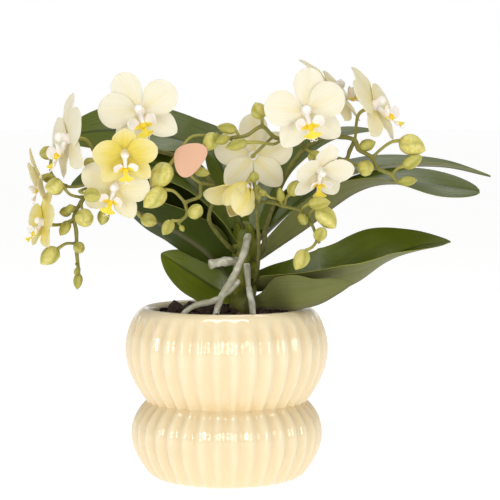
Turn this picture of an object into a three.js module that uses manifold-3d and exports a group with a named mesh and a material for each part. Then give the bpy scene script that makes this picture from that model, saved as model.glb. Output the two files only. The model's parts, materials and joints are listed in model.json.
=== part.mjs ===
// Potted orchid: a small moth orchid with four flower spikes, rooted in bark in a plastic grow pot,
// which stands in a ribbed ceramic pot with a pinched waist.
// Millimetres. +Z is up, +X is to the right and the front is -Y.
// The origin is the middle of the ceramic pot's foot, on the surface that it stands on.

import * as THREE from 'three';
import { mergeVertices, toCreasedNormals } from 'three/addons/utils/BufferGeometryUtils.js';
import Module from 'manifold-3d';

const wasm = await Module();
wasm.setup();

// ---------------------------------------------------------------- driving dimensions

const CLEARANCE = 0.3; // kept between pieces that touch

const POT = {
  height: 103,
  mouthRadius: 46.5,
  innerFloor: 7,
  ribs: 36,
  ribDepth: 1.8,
  // [radius, height, share of the rib depth] from the foot up to the lip
  outline: [
    [41.2, 0, 0.5],
    [48.6, 5, 0.9],
    [54.2, 14.5, 1],
    [57.6, 27, 1],
    [54.8, 38, 1],
    [48.3, 46.5, 1],
    [55.4, 57.5, 1],
    [60.4, 71, 1],
    [60.3, 85.5, 1],
    [56.4, 96, 0.6],
    [49.8, 103, 0],
  ],
};

const GROW_POT = { bottom: 7.3, top: 94, bottomRadius: 33, topRadius: 43.5, wall: 1.2 };

const BARK = { top: 96.5, chunks: 16, chunkSize: 8, seed: 11 };

const STEM = {
  x: 10.5,
  y: 4,
  // [height, radius]: the swellings are the sheaths of the leaves
  rings: [
    [66, 6],
    [90, 7.5],
    [104, 8.5],
    [112, 8],
    [122, 9],
    [132, 8.2],
    [142, 8.4],
    [150, 6.5],
    [154, 3.5],
  ],
};

const LEAF_THICKNESS = 1.6;

// path: [x, y, z, lean, fold] from the stem to the tip along the midrib. lean turns the upper face
// towards the front, and fold raises the two halves from flat, both in degrees. base is the width
// at the stem as a share of the full width, and point is 0.5 for a blunt tip and more for a sharp one.
const LEAVES = {
  leaf_left_top: {
    width: 44,
    base: 0.24,
    point: 0.6,
    path: [
      [7, 11, 148, 10, 38],
      [3, 23, 167.5, 14, 36],
      [-9, 34.5, 192.5, 18, 28],
      [-29, 36, 201.5, 32, 18],
      [-51, 38, 207, 43, 13],
      [-76, 40, 208, 50, 10],
      [-103, 44, 205, 50, 8],
    ],
  },
  leaf_left_second: {
    width: 34,
    base: 0.24,
    point: 0.7,
    path: [
      [6, 0, 138, 0, 40],
      [-7, 1, 156, 8, 32],
      [-21, 5, 174.3, 16, 22],
      [-41, 16, 186.3, 22, 18],
      [-62, 17, 185.5, 26, 15],
      [-80, 17, 181, 30, 12],
      [-95, 17, 175, 30, 10],
    ],
  },
  leaf_left_third: {
    width: 40,
    base: 0.24,
    point: 0.7,
    path: [
      [7, 6.5, 126.5, 10, 35],
      [-4, 9, 143, 28, 30],
      [-15, 9, 153, 46, 22],
      [-29, 9, 162, 55, 16],
      [-44, 8, 168, 52, 12],
      [-58, 7, 172, 48, 10],
      [-72, 6, 175, 44, 10],
    ],
  },
  leaf_left_low: {
    width: 33,
    base: 0.34,
    point: 0.6,
    path: [
      [7, 4, 114, -10, 35],
      [-2, 2, 125, -28, 28],
      [-14, -5, 137.5, -37, 20],
      [-28, -12, 148, -38, 15],
      [-42, -16, 156, -36, 12],
      [-55, -18, 164, -34, 10],
      [-65, -18, 172, -30, 10],
    ],
  },
  leaf_left_bottom: {
    width: 28,
    base: 0.4,
    point: 0.75,
    path: [
      [8, 8, 106, 55, 25],
      [-6, 12, 112, 66, 18],
      [-17, 13, 119, 70, 14],
      [-28, 14, 126, 70, 10],
      [-40, 15, 134, 70, 10],
    ],
  },
  leaf_right_top: {
    width: 36,
    base: 0.34,
    point: 0.75,
    path: [
      [14, 6, 138, 10, 36],
      [28, 10, 151, 12, 30],
      [44, 17, 165, 12, 25],
      [60, 24, 175, 10, 20],
      [75, 29.5, 182, 8, 16],
      [94, 33, 186, 8, 14],
      [115, 36, 187.5, 8, 12],
      [137, 38, 186.5, 6, 10],
      [163, 40, 180.5, 4, 10],
    ],
  },
  leaf_right_second: {
    width: 38,
    base: 0.34,
    point: 0.55,
    path: [
      [14, 3, 128, -20, 40],
      [30, 2, 139, -20, 38],
      [48, 0, 151.5, -16, 36],
      [64, 0, 164, -8, 30],
      [77, 0, 172.5, 0, 22],
      [90, 1, 177, 6, 14],
      [106, 2, 177.5, 16, 10],
      [128, 3, 175, 30, 8],
      [152, 4, 172, 34, 6],
    ],
  },
  leaf_right_low: {
    width: 54,
    base: 0.3,
    point: 0.8,
    path: [
      [13, 7.6, 112.4, 8, 40],
      [27, 2, 113.5, 18, 50],
      [42, -5, 112.5, 22, 55],
      [58, -10, 112.5, 24, 58],
      [76, -12, 119, 24, 54],
      [95, -9, 131.5, 22, 38],
      [113, -5, 138.5, 22, 22],
      [134, -2, 142.5, 22, 10],
    ],
  },
  leaf_right_bottom: {
    width: 38,
    base: 0.3,
    point: 0.8,
    path: [
      [15, 1, 104, -10, 50],
      [27, -10, 104, -20, 50],
      [41, -31, 105.5, -28, 50],
      [54, -38, 109, -34, 48],
      [64, -39, 114.5, -36, 42],
      [74, -38, 121, -36, 36],
    ],
  },
  leaf_back: {
    width: 24,
    base: 0.3,
    point: 0.7,
    path: [
      [17, 8, 148, 5, 25],
      [26, 23, 168, 10, 22],
      [42, 32, 189, 15, 18],
      [66, 37, 205, 18, 12],
      [90, 42, 209, 20, 10],
    ],
  },
};

// Each root is a path with a radius, and side roots that it carries.
const ROOTS = {
  root_left: {
    radius: 2.1,
    path: [
      [13, -3, 146],
      [10, -13, 135],
      [4, -17, 122],
      [-3, -18, 110],
      [-6, -20, 101],
      [-8, -22, 88],
    ],
    side: [
      [7, -14, 120],
      [2, -17, 114],
      [-8, -20, 108],
      [-18, -25, 106],
      [-25, -28, 101],
      [-27, -29, 90],
    ],
  },
  root_right: {
    radius: 1.9,
    path: [
      [12, -4, 129],
      [13, -9, 117],
      [15, -12, 107],
      [16, -14, 98],
      [17, -15, 86],
    ],
  },
  root_stub: {
    radius: 2.7,
    path: [
      [8, -2, 130],
      [1, -9, 131],
      [-11, -12, 129],
    ],
  },
};

// A spike is a stem with side branches and stalked buds. A stalk runs from the stem to the bud's
// foot, and the bud stands on its end and points at its tip.
const SPIKES = {
  spike_left: {
    radius: 1.5,
    path: [
      [10, -1, 150],
      [7, -9, 156],
      [0, -16, 166],
      [-12, -24, 182],
      [-27, -30, 193],
      [-44, -33, 197],
      [-61, -36, 193],
      [-73, -38, 187],
      [-77, -38, 181],
      [-79, -38, 174],
      [-84, -38, 167],
      [-88, -37, 159],
      [-87, -35, 150],
      [-87, -33, 138],
      [-86, -32, 126],
    ],
    branches: [],
    buds: [
      { stalk: [[-96, -30, 177], [-103, -22, 185], [-102, -22, 196]], tip: [-109, -27, 195], width: 8 },
      { stalk: [[-83, -38, 170], [-90, -41, 172], [-94, -42, 177]], tip: [-104, -46, 176], width: 10 },
      { stalk: [[-93, -31, 176.6], [-97, -24, 178], [-101, -20, 180]], tip: [-109, -14, 181], width: 5.5 },
      { stalk: [[-87, -37, 162], [-90, -35, 162]], tip: [-97, -34, 161], width: 6 },
      { stalk: [[-86, -38, 164], [-89, -42, 165]], tip: [-91, -47, 162], width: 5 },
      { stalk: [[-88, -37, 158], [-91, -38, 156]], tip: [-96, -40, 148], width: 6.2 },
      { stalk: [[-84, -38, 167], [-82, -44, 160]], tip: [-81, -55, 157], width: 10.5 },
      { stalk: [[-87, -34, 144], [-86, -38, 142]], tip: [-84, -46, 140], width: 6.6 },
      { stalk: [[-87, -34, 143], [-93, -34, 143], [-98, -34, 140]], tip: [-108, -34, 131], width: 9.8 },
      { stalk: [[-87, -33, 131], [-86, -35, 129]], tip: [-88, -37, 125], width: 3 },
      { stalk: [[-86, -32, 128], [-86, -32, 125]], tip: [-87, -32, 116], width: 5.4 },
      { stalk: [[-79, -38, 176], [-84, -46, 174], [-80, -54, 173]], tip: [-71, -59, 171], width: 8.2 },
      { stalk: [[-80, -38, 172], [-74, -37, 168], [-70, -38, 163]], tip: [-72, -40, 154], width: 7 },
      { stalk: [[-73, -38, 187], [-77, -42, 189]], tip: [-80, -49, 191], width: 7.2 },
      {
        stalk: [[-63, -36, 193], [-61, -33, 180], [-55, -32, 165], [-49, -33, 158]],
        tip: [-40, -36, 155],
        width: 8,
      },
    ],
  },
  spike_centre: {
    radius: 1.3,
    path: [
      [6, -1, 135],
      [1, -11, 140],
      [-6, -19, 149],
      [-10, -28, 157],
      [-8, -33, 166],
      [-4, -37, 174],
      [-14, -41, 178],
      [-15, -43, 171],
      [-23, -45, 167],
      [-22, -46, 161],
      [-27, -47, 156],
    ],
    branches: [],
    buds: [
      { stalk: [[-23, -45, 167], [-30, -46, 174], [-35, -47, 175]], tip: [-47, -50, 165], width: 11 },
      { stalk: [[-26, -47, 157], [-31, -48, 157]], tip: [-36, -50, 149], width: 6.8 },
      { stalk: [[-22, -46, 161], [-20, -49, 160]], tip: [-14, -55, 166], width: 8.2 },
      { stalk: [[-27, -47, 156], [-26, -48, 154]], tip: [-24, -49, 151], width: 3 },
      { stalk: [[-14, -41, 178], [-20, -41, 183], [-18, -43, 186]], tip: [-9, -46, 184], width: 5.6 },
    ],
  },
  spike_right: {
    radius: 1.6,
    path: [
      [17, -4, 131],
      [22, -10, 139],
      [23, -13, 150],
      [27, -16, 163],
      [35, -20, 183],
      [44, -24, 196],
      [55, -28, 204],
      [67, -30, 205],
      [75, -31, 203],
      [77, -32, 198],
      [85, -33, 193],
      [88, -34, 187],
      [96, -35, 183],
      [100, -36, 178],
    ],
    branches: [
      [
        [46, -25, 198],
        [41, -31, 206],
        [33, -35, 204],
        [28, -37, 205],
        [21, -39, 211],
        [12, -41, 206],
        [6, -42, 205],
        [0, -43, 204],
      ],
      [
        [75, -31, 203],
        [72, -31, 197],
        [70, -31, 192],
        [64, -29, 193],
      ],
    ],
    buds: [
      { stalk: [[0, -43, 204], [-6, -44, 207]], tip: [-12, -46, 197], width: 9 },
      { stalk: [[8, -42, 205], [6, -42, 209]], tip: [-5, -43, 211], width: 6.4 },
      {
        stalk: [[33, -35, 204], [28, -39, 201], [19, -43, 202], [12, -44, 202]],
        tip: [0, -47, 199],
        width: 6.4,
      },
      { stalk: [[3, -43, 204], [1, -47, 205]], tip: [-5, -54, 202], width: 5.6 },
      { stalk: [[21, -39, 211], [21, -39, 216]], tip: [17, -39, 225], width: 9.2 },
      {
        stalk: [[0, -43, 204], [-12, -43, 206], [-20, -46, 205], [-25, -48, 199], [-32, -45, 189]],
        tip: [-43, -46, 176],
        width: 12.5,
      },
      { stalk: [[75, -31, 203], [78, -32, 199]], tip: [87, -33, 202], width: 7 },
      {
        stalk: [[85, -33, 193], [89, -33, 197], [96, -33, 202], [101, -33, 203]],
        tip: [116, -33, 197],
        width: 12,
      },
      { stalk: [[96, -35, 183], [100, -35, 187], [103, -35, 188]], tip: [114, -36, 194], width: 7.4 },
      { stalk: [[70, -31, 192], [75, -33, 189], [79, -37, 188]], tip: [82, -46, 186], width: 9.2 },
      { stalk: [[99, -36, 179], [101, -36, 179]], tip: [111, -36, 180], width: 5.6 },
      { stalk: [[46, -25, 198], [50, -28, 196]], tip: [55, -33, 188], width: 8.4 },
    ],
  },
  spike_front: {
    radius: 1.25,
    path: [
      [15, -3, 115],
      [18, -10, 123],
      [19, -15, 134],
      [19, -19, 147],
      [18, -24, 158],
      [19, -28, 166],
      [26, -32, 167],
      [33, -35, 165],
      [44, -40, 162],
      [49, -43, 156],
      [52, -45, 149],
      [54, -46, 144],
    ],
    branches: [],
    buds: [
      { stalk: [[19, -28, 166], [17, -34, 174], [16, -38, 180]], tip: [16, -42, 185], width: 6 },
      { stalk: [[19, -28, 166], [19, -34, 169]], tip: [17, -39, 178], width: 5.2 },
      {
        stalk: [[33, -35, 165], [30, -37, 169], [26, -39, 170], [23, -40, 172]],
        tip: [19, -43, 174],
        width: 3.8,
      },
      { stalk: [[44, -40, 162], [45, -45, 165], [48, -49, 167]], tip: [60, -54, 168], width: 7.4 },
      { stalk: [[34, -35, 165], [35, -38, 170], [37, -40, 172]], tip: [43, -43, 180], width: 8.2 },
      { stalk: [[33, -35, 165], [32, -39, 168]], tip: [31, -43, 176], width: 4.6 },
      { stalk: [[47, -42, 158], [50, -45, 163], [53, -47, 164]], tip: [63, -52, 153], width: 10.6 },
      { stalk: [[52, -45, 150], [52, -49, 147]], tip: [57, -55, 153], width: 7.2 },
      { stalk: [[53, -45, 146], [50, -47, 142], [46, -48, 140]], tip: [40, -50, 129], width: 9 },
      { stalk: [[44, -40, 162], [43, -44, 160]], tip: [46, -50, 155], width: 5.6 },
    ],
  },
};

// at is the middle of the flower; facing is [azimuth, elevation] in degrees, where azimuth 0 faces
// the front and 90 the right; roll turns the flower anticlockwise as seen from in front of it.
// spread is 1 for a flat open flower and less for a cupped one, and dorsalLean turns its top sepal.
// stalk leads from its spike to it.
const BLOOMS = {
  bloom_a: {
    at: [-91, -40, 204],
    facing: [-66, 4],
    roll: 12,
    size: 1.1,
    spread: 1,
    on: 'spike_left',
    stalk: [[-73, -38, 187]],
  },
  bloom_b: {
    at: [-109, -28, 181],
    facing: [-90, -16],
    roll: 0,
    size: 0.74,
    spread: 0.9,
    on: 'spike_left',
    stalk: [[-78, -38, 178], [-89, -32, 176], [-96, -30, 177]],
  },
  bloom_c: {
    at: [-106, -37, 155.5],
    facing: [-60, 12],
    roll: 0,
    size: 0.76,
    spread: 0.95,
    on: 'spike_left',
    stalk: [[-88, -37, 156]],
  },
  bloom_d: {
    at: [-63.5, -47, 176.5],
    facing: [-8, -12],
    roll: -15,
    size: 0.88,
    spread: 0.95,
    on: 'spike_left',
    stalk: [[-76, -38, 183]],
  },
  bloom_e: {
    at: [-57, -62, 196],
    facing: [8, -22],
    roll: 4,
    size: 0.86,
    spread: 0.74,
    on: 'spike_left',
    stalk: [[-72, -38, 188], [-72, -48, 194]],
  },
  bloom_f: {
    at: [-49, -47, 220],
    facing: [-4, 6],
    roll: 17,
    dorsalLean: 15,
    size: 1.02,
    spread: 1,
    on: 'spike_left',
    stalk: [[-46, -33.5, 197]],
  },
  bloom_i: {
    at: [11, -44, 175.5],
    facing: [-40, -48],
    roll: 0,
    size: 1.04,
    spread: 0.3,
    on: 'spike_front',
    stalk: [[19, -29, 166]],
  },
  bloom_j: {
    at: [16, -22, 194],
    facing: [178, 0],
    roll: 0,
    size: 1,
    spread: 1,
    on: 'spike_right',
    stalk: [[27, -36.6, 205]],
  },
  bloom_m: {
    at: [46, -50, 220],
    facing: [4, 4],
    roll: 11,
    dorsalLean: -17,
    size: 1.02,
    spread: 1,
    on: 'spike_right',
    stalk: [[55, -28, 204]],
  },
  bloom_n: {
    at: [63.5, -17, 231.5],
    facing: [74, 42],
    roll: 0,
    size: 1.14,
    spread: 1,
    on: 'spike_right',
    stalk: [[66, -30, 205]],
  },
  bloom_o: {
    at: [86, -34, 223],
    facing: [66, 26],
    roll: -4,
    size: 1.08,
    spread: 1,
    on: 'spike_right',
    stalk: [[75, -31, 203]],
  },
  bloom_q: {
    at: [54, -46, 186],
    facing: [24, -34],
    roll: 0,
    size: 0.84,
    spread: 0.76,
    on: 'spike_right',
    stalk: [[65, -29, 193]],
  },
};

// Half-open: its lip is still shut in.
const BLOOMS_WITHOUT_LIP = ['bloom_i'];

// [name, angle round the flower, length, width, rest behind the petals, pointedness]
const TEPALS = [
  ['dorsal', 90, 25, 17, -1.1, 0.8],
  ['petal', 17, 24, 20, 0, 0.62],
  ['petal', 163, 24, 20, 0, 0.62],
  ['lateral', -47, 24, 15.5, -1.1, 0.95],
  ['lateral', -133, 24, 15.5, -1.1, 0.95],
];
const TEPAL_THICKNESS = 0.85;
const TEPAL_START = 2.3; // from the middle of the flower
const HUB = { radius: 2.9, behind: 2.4, before: 1.8 };
const COLUMN = { radius: 1.5, length: 6.4 };
const LIP = { claw: [0, -4.05, 2.6], joint: [0, -8.6, 4.2], callus: [3.8, 3.6, 2.8] };

const TAG = { at: [-20, -49.6, 192], width: 19, height: 20, thickness: 0.7 };

// ---------------------------------------------------------------- small tools

const { degToRad: radians, lerp, smoothstep } = THREE.MathUtils;
const point = (list) => new THREE.Vector3(list[0], list[1], list[2]);

function seededRandom(seed) {
  let state = seed;
  return () => {
    state = (state * 1664525 + 1013904223) % 4294967296;
    return state / 4294967296;
  };
}

// A closed geometry from corner points and triangles.
function geometryFrom(points, triangles) {
  const geometry = new THREE.BufferGeometry();
  geometry.setAttribute('position', new THREE.Float32BufferAttribute(points.flatMap((p) => p.toArray()), 3));
  geometry.setIndex(triangles.flat());
  return geometry;
}

// A closed solid through rings of the same number of points, shut at both ends by a fan: the last
// fan meets at the apex where one is given.
function loft(rings, apex = null) {
  const sides = rings[0].length;
  const points = rings.flat();
  const triangles = [];
  for (let i = 0; i + 1 < rings.length; i++) {
    for (let j = 0; j < sides; j++) {
      const k = (j + 1) % sides;
      triangles.push([i * sides + j, i * sides + k, (i + 1) * sides + k]);
      triangles.push([i * sides + j, (i + 1) * sides + k, (i + 1) * sides + j]);
    }
  }
  const centreOf = (ring) => ring.reduce((sum, p) => sum.add(p), new THREE.Vector3()).divideScalar(sides);
  points.push(centreOf(rings[0]), apex || centreOf(rings[rings.length - 1]));
  const last = (rings.length - 1) * sides;
  for (let j = 0; j < sides; j++) {
    const k = (j + 1) % sides;
    triangles.push([points.length - 2, k, j]);
    triangles.push([points.length - 1, last + j, last + k]);
  }
  return geometryFrom(points, triangles);
}

// A thin solid over a grid of points, split into triangles alike on both faces.
function blade(grid, thickness) {
  const rows = grid.length;
  const columns = grid[0].length;
  const near = (value, most) => Math.min(Math.max(value, 0), most - 1);
  const normalAt = (i, j) => {
    const along = grid[near(i + 1, rows)][j].clone().sub(grid[near(i - 1, rows)][j]);
    const across = grid[i][near(j + 1, columns)].clone().sub(grid[i][near(j - 1, columns)]);
    return along.cross(across).normalize();
  };
  const points = [];
  for (const side of [0.5, -0.5]) {
    grid.forEach((row, i) => row.forEach((p, j) => {
      points.push(p.clone().addScaledVector(normalAt(i, j), side * thickness));
    }));
  }
  const top = (i, j) => i * columns + j;
  const bottom = (i, j) => rows * columns + i * columns + j;
  const triangles = [];
  for (let i = 0; i + 1 < rows; i++) {
    for (let j = 0; j + 1 < columns; j++) {
      triangles.push([top(i, j), top(i + 1, j), top(i + 1, j + 1)]);
      triangles.push([top(i, j), top(i + 1, j + 1), top(i, j + 1)]);
      triangles.push([bottom(i, j), bottom(i + 1, j + 1), bottom(i + 1, j)]);
      triangles.push([bottom(i, j), bottom(i, j + 1), bottom(i + 1, j + 1)]);
    }
  }
  const rim = [];
  for (let i = 0; i < rows; i++) rim.push([i, 0]);
  for (let j = 1; j < columns; j++) rim.push([rows - 1, j]);
  for (let i = rows - 2; i >= 0; i--) rim.push([i, columns - 1]);
  for (let j = columns - 2; j > 0; j--) rim.push([0, j]);
  rim.forEach(([i, j], n) => {
    const [k, l] = rim[(n + 1) % rim.length];
    triangles.push([top(i, j), bottom(i, j), bottom(k, l)]);
    triangles.push([top(i, j), bottom(k, l), top(k, l)]);
  });
  return geometryFrom(points, triangles);
}

// A bar through the points of a path; radiusAt gives its radius from 0 to 1 along it.
function tube(path, radiusAt, sides) {
  const points = path.map(point);
  const last = points.length - 1;
  const headings = points.map((_, i) => {
    const before = points[Math.max(i - 1, 0)];
    return points[Math.min(i + 1, last)].clone().sub(before).normalize();
  });
  const normal = new THREE.Vector3(0, 0, 1);
  if (Math.abs(headings[0].z) > 0.9) normal.set(1, 0, 0);
  const rings = points.map((middle, i) => {
    // The normal is carried along, so the bar doesn't twist.
    normal.addScaledVector(headings[i], -normal.dot(headings[i])).normalize();
    const binormal = headings[i].clone().cross(normal);
    const reach = radiusAt(i / last);
    const ring = [];
    for (let j = 0; j < sides; j++) {
      const angle = (2 * Math.PI * j) / sides;
      ring.push(middle.clone()
        .addScaledVector(normal, reach * Math.cos(angle))
        .addScaledVector(binormal, reach * Math.sin(angle)));
    }
    return ring;
  });
  return loft(rings);
}

function signedVolume(positions, index) {
  let sum = 0;
  const corner = (n) => new THREE.Vector3().fromArray(positions, 3 * index[n]);
  for (let n = 0; n < index.length; n += 3) {
    sum += corner(n).dot(corner(n + 1).cross(corner(n + 2)));
  }
  return sum / 6;
}

// A geometry as a solid, with its faces turned out.
function solidOf(geometry) {
  const bare = geometry.clone();
  bare.deleteAttribute('normal');
  bare.deleteAttribute('uv');
  const merged = mergeVertices(bare, 1e-4);
  const positions = merged.attributes.position.array;
  const triVerts = new Uint32Array(merged.index.array);
  if (signedVolume(positions, triVerts) < 0) triVerts.reverse();
  const vertProperties = new Float32Array(positions);
  return new wasm.Manifold(new wasm.Mesh({ numProp: 3, vertProperties, triVerts }));
}

function fuse(geometries) {
  return geometries.map(solidOf).reduce((whole, solid) => whole.add(solid));
}

// The main body of a solid, without the loose scraps that a cut can leave.
function largestBody(solid) {
  const bodies = solid.decompose();
  return bodies.reduce((best, body) => (body.volume() > best.volume() ? body : best));
}

const SIMPLIFY = 0.25; // corners closer to their neighbours' plane than this are dropped
const LATHE_SIDES = 24; // of the grow pot, the bark and the ceramic pot's inside
const CREASE = radians(40); // faces that meet at less than this are shaded smooth

function meshOf(name, solid, material) {
  const { vertProperties, triVerts } = largestBody(solid).simplify(SIMPLIFY).getMesh();
  const geometry = new THREE.BufferGeometry();
  geometry.setAttribute('position', new THREE.Float32BufferAttribute(vertProperties, 3));
  geometry.setIndex(Array.from(triVerts));
  const mesh = new THREE.Mesh(toCreasedNormals(geometry, CREASE), material);
  mesh.name = name;
  return mesh;
}

const finish = (color, roughness) => new THREE.MeshStandardMaterial({ color, roughness, metalness: 0 });

const MATERIALS = {
  glaze: finish('#fbe6c0', 0.18),
  plastic: finish('#23241f', 0.45),
  bark: finish('#3d2b20', 0.95),
  stem: finish('#66702a', 0.5),
  leaf: finish('#46561a', 0.3),
  root: finish('#8f9070', 0.75),
  spike: finish('#8a8a3c', 0.5),
  petal: finish('#f3edc6', 0.6),
  lip: finish('#f2c811', 0.55),
  card: finish('#edc0a0', 0.6),
};

// ---------------------------------------------------------------- pot, grow pot and bark

function ceramicPot() {
  // Three points for each rib: two shoulders of its crest, and the valley beside it. A valley faces
  // the front.
  const ribPoints = [[0.23, 0], [0.77, 0], [1, 1]];
  const rings = POT.outline.map(([radius, height, share]) => {
    const ring = [];
    for (let rib = 0; rib < POT.ribs; rib++) {
      for (const [offset, valley] of ribPoints) {
        const angle = (2 * Math.PI * (rib + offset)) / POT.ribs;
        const reach = radius - valley * share * POT.ribDepth;
        ring.push(new THREE.Vector3(reach * Math.cos(angle), reach * Math.sin(angle), height));
      }
    }
    return ring;
  });
  const hollow = [
    [0, POT.innerFloor],
    [35, POT.innerFloor],
    [43.5, 30],
    [43.5, 62],
    [POT.mouthRadius + 4.5, 84],
    [POT.mouthRadius, 100],
    [POT.mouthRadius, POT.height + 5],
    [0, POT.height + 5],
  ];
  return solidOf(loft(rings)).subtract(solidOf(lathe(hollow, LATHE_SIDES)));
}

function lathe(outline, sides) {
  const geometry = new THREE.LatheGeometry(outline.map(([r, z]) => new THREE.Vector2(r, z)), sides);
  return geometry.rotateX(Math.PI / 2);
}

function growPotRadius(height) {
  const share = (height - GROW_POT.bottom) / (GROW_POT.top - GROW_POT.bottom);
  return lerp(GROW_POT.bottomRadius, GROW_POT.topRadius, share);
}

function growPot() {
  const { bottom, top, wall } = GROW_POT;
  return solidOf(lathe([
    [0, bottom],
    [growPotRadius(bottom), bottom],
    [growPotRadius(top - 4), top - 4],
    [growPotRadius(top) + 1.2, top - 4],
    [growPotRadius(top) + 1.2, top],
    [growPotRadius(top) - wall, top],
    [growPotRadius(bottom) - wall, bottom + wall],
    [0, bottom + wall],
  ], LATHE_SIDES));
}

// The bark fills the grow pot, with loose chunks standing out of its top.
function bark() {
  const { top, chunks, chunkSize, seed } = BARK;
  const random = seededRandom(seed);
  const inside = GROW_POT.wall + CLEARANCE;
  const floor = GROW_POT.bottom + inside;
  const heap = [solidOf(lathe([
    [0, floor],
    [growPotRadius(floor) - inside, floor],
    [growPotRadius(top - 5) - inside, top - 5],
    [34, top],
    [0, top + 1.5],
  ], LATHE_SIDES))];
  const farthest = growPotRadius(top) - inside - chunkSize * 1.15;
  for (let n = 0; n < chunks; n++) {
    // Even over the surface: the golden angle, with the radius as a square root.
    const angle = n * 2.39996 + random() * 0.6;
    const reach = farthest * Math.sqrt((n + 0.5) / chunks);
    const size = chunkSize * (0.7 + 0.6 * random());
    const width = size * (0.9 + 0.4 * random());
    const height = size * (0.5 + 0.3 * random());
    const chunk = new THREE.BoxGeometry(1.7 * size, width, height);
    chunk.rotateX((random() - 0.5) * 0.9);
    chunk.rotateY((random() - 0.5) * 0.7);
    chunk.rotateZ(random() * Math.PI);
    chunk.translate(reach * Math.cos(angle), reach * Math.sin(angle), top - 0.2 + 1.8 * random());
    heap.push(solidOf(chunk));
  }
  return heap.reduce((whole, solid) => whole.add(solid));
}

// ---------------------------------------------------------------- stem, leaves and roots

function stem(extra = 0) {
  const rings = STEM.rings.map(([height, radius], n) => {
    const ring = [];
    for (let j = 0; j < 10; j++) {
      const angle = (2 * Math.PI * j) / 10;
      const raise = n === STEM.rings.length - 1 ? extra : 0;
      ring.push(new THREE.Vector3(
        STEM.x + (radius + extra) * Math.cos(angle),
        STEM.y + (radius + extra) * Math.sin(angle),
        height + raise,
      ));
    }
    return ring;
  });
  return solidOf(loft(rings));
}

// The width of a leaf along it as a share of its full width: narrow where it leaves the stem, even
// along its length, and rounded or pointed at its tip.
function leafOutline(along, base, sharpness) {
  const rise = base + (1 - base) * smoothstep(along, 0, 0.4);
  const narrowing = Math.max(0, (along - 0.9 + 0.6 * sharpness) / (0.105 + 0.6 * sharpness));
  return rise * (1 - narrowing ** 2.2) ** sharpness;
}

function leaf({ width, base, point: sharpness, path }, steps = 6) {
  const curve = new THREE.CatmullRomCurve3(path.map(point), false, 'centripetal');
  const turns = new THREE.CatmullRomCurve3(path.map(([, , , lean, fold]) => point([lean, fold, 0])));
  const across = [-1, -0.5, 0, 0.5, 1];
  const grid = [];
  for (let i = 0; i <= steps; i++) {
    const along = i / steps;
    const parameter = curve.getUtoTmapping(along);
    const middle = curve.getPoint(parameter);
    const heading = curve.getTangent(parameter);
    const turn = turns.getPoint(parameter);
    const { side, face } = leafFrame(heading, radians(turn.x));
    const fold = radians(turn.y);
    const half = 0.5 * width * leafOutline(along, base, sharpness);
    grid.push(across.map((t) => middle.clone()
      .addScaledVector(side, half * t * Math.cos(fold))
      .addScaledVector(face, half * Math.abs(t) ** 1.25 * Math.sin(fold))));
  }
  return solidOf(blade(grid, LEAF_THICKNESS));
}

// side points to the leaf's back edge and face out of its upper face.
function leafFrame(heading, lean) {
  const level = new THREE.Vector3(0, 0, 1).cross(heading).normalize();
  if (level.y < 0) level.negate();
  const raised = new THREE.Vector3().crossVectors(heading, level);
  if (raised.z < 0) raised.negate();
  const side = level.clone().multiplyScalar(Math.cos(lean)).addScaledVector(raised, Math.sin(lean));
  const face = raised.clone().multiplyScalar(Math.cos(lean)).addScaledVector(level, -Math.sin(lean));
  return { side, face };
}

function root({ radius, path, side }, extra = 0) {
  const grown = tube(path, () => radius + extra, 6);
  if (!side) return solidOf(grown);
  return solidOf(grown).add(solidOf(tube(side, () => radius * 0.85 + extra, 6)));
}

// The bark with plain holes for the stem and the roots.
function barkRoundRoots(stemRoom) {
  const rooms = Object.values(ROOTS).map((each) => root(each, CLEARANCE));
  return [...rooms, stemRoom].reduce((whole, room) => whole.subtract(room), bark());
}

// ---------------------------------------------------------------- flowers

// The directions of a flower: right and up as seen from in front of it, and out, the way it faces.
function flowerFrame({ facing, roll }) {
  const [azimuth, elevation] = facing.map(radians);
  const out = new THREE.Vector3(
    Math.sin(azimuth) * Math.cos(elevation),
    -Math.cos(azimuth) * Math.cos(elevation),
    Math.sin(elevation),
  );
  const level = new THREE.Vector3(0, 0, 1).addScaledVector(out, -out.z).normalize();
  const up = level.applyAxisAngle(out, radians(roll));
  return { right: up.clone().cross(out), up, out };
}

// A tepal or lobe in the flower's own frame: it leaves the middle at an angle round the flower,
// starts and ends at two slopes to the flower's plane, and its width follows a sine. edges are the
// lines along it, from -1 at one margin to 1 at the other.
function lobe(shape) {
  const { from, angle, length, width, slopes, foot, pointed, cup, steps, thickness } = shape;
  const edges = shape.edges || [-1, 0, 1];
  const along = new THREE.Vector3(Math.cos(angle), Math.sin(angle), 0);
  const sideways = new THREE.Vector3(-Math.sin(angle), Math.cos(angle), 0);
  const [start, end] = slopes.map(radians);
  const bend = Math.abs(end - start) < 1e-3 ? 1e-3 : end - start;
  const grid = [];
  for (let i = 0; i <= steps; i++) {
    const s = i / steps;
    const slope = start + bend * s;
    const reach = (length * (Math.sin(slope) - Math.sin(start))) / bend;
    const rise = (length * (Math.cos(start) - Math.cos(slope))) / bend;
    const half = 0.5 * width * Math.max(foot * (1 - s), 0.1 * s, Math.sin(Math.PI * s ** 1.15) ** pointed);
    grid.push(edges.map((t) => point(from)
      .addScaledVector(along, reach)
      .addScaledVector(sideways, half * t)
      .add(new THREE.Vector3(0, 0, rise + cup * t * t * half * 0.3))));
  }
  return blade(grid, thickness);
}

// A half-closed flower's tepals rise from its plane by a share of these angles.
const SHUT_SLOPES = [62, 100];

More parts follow.
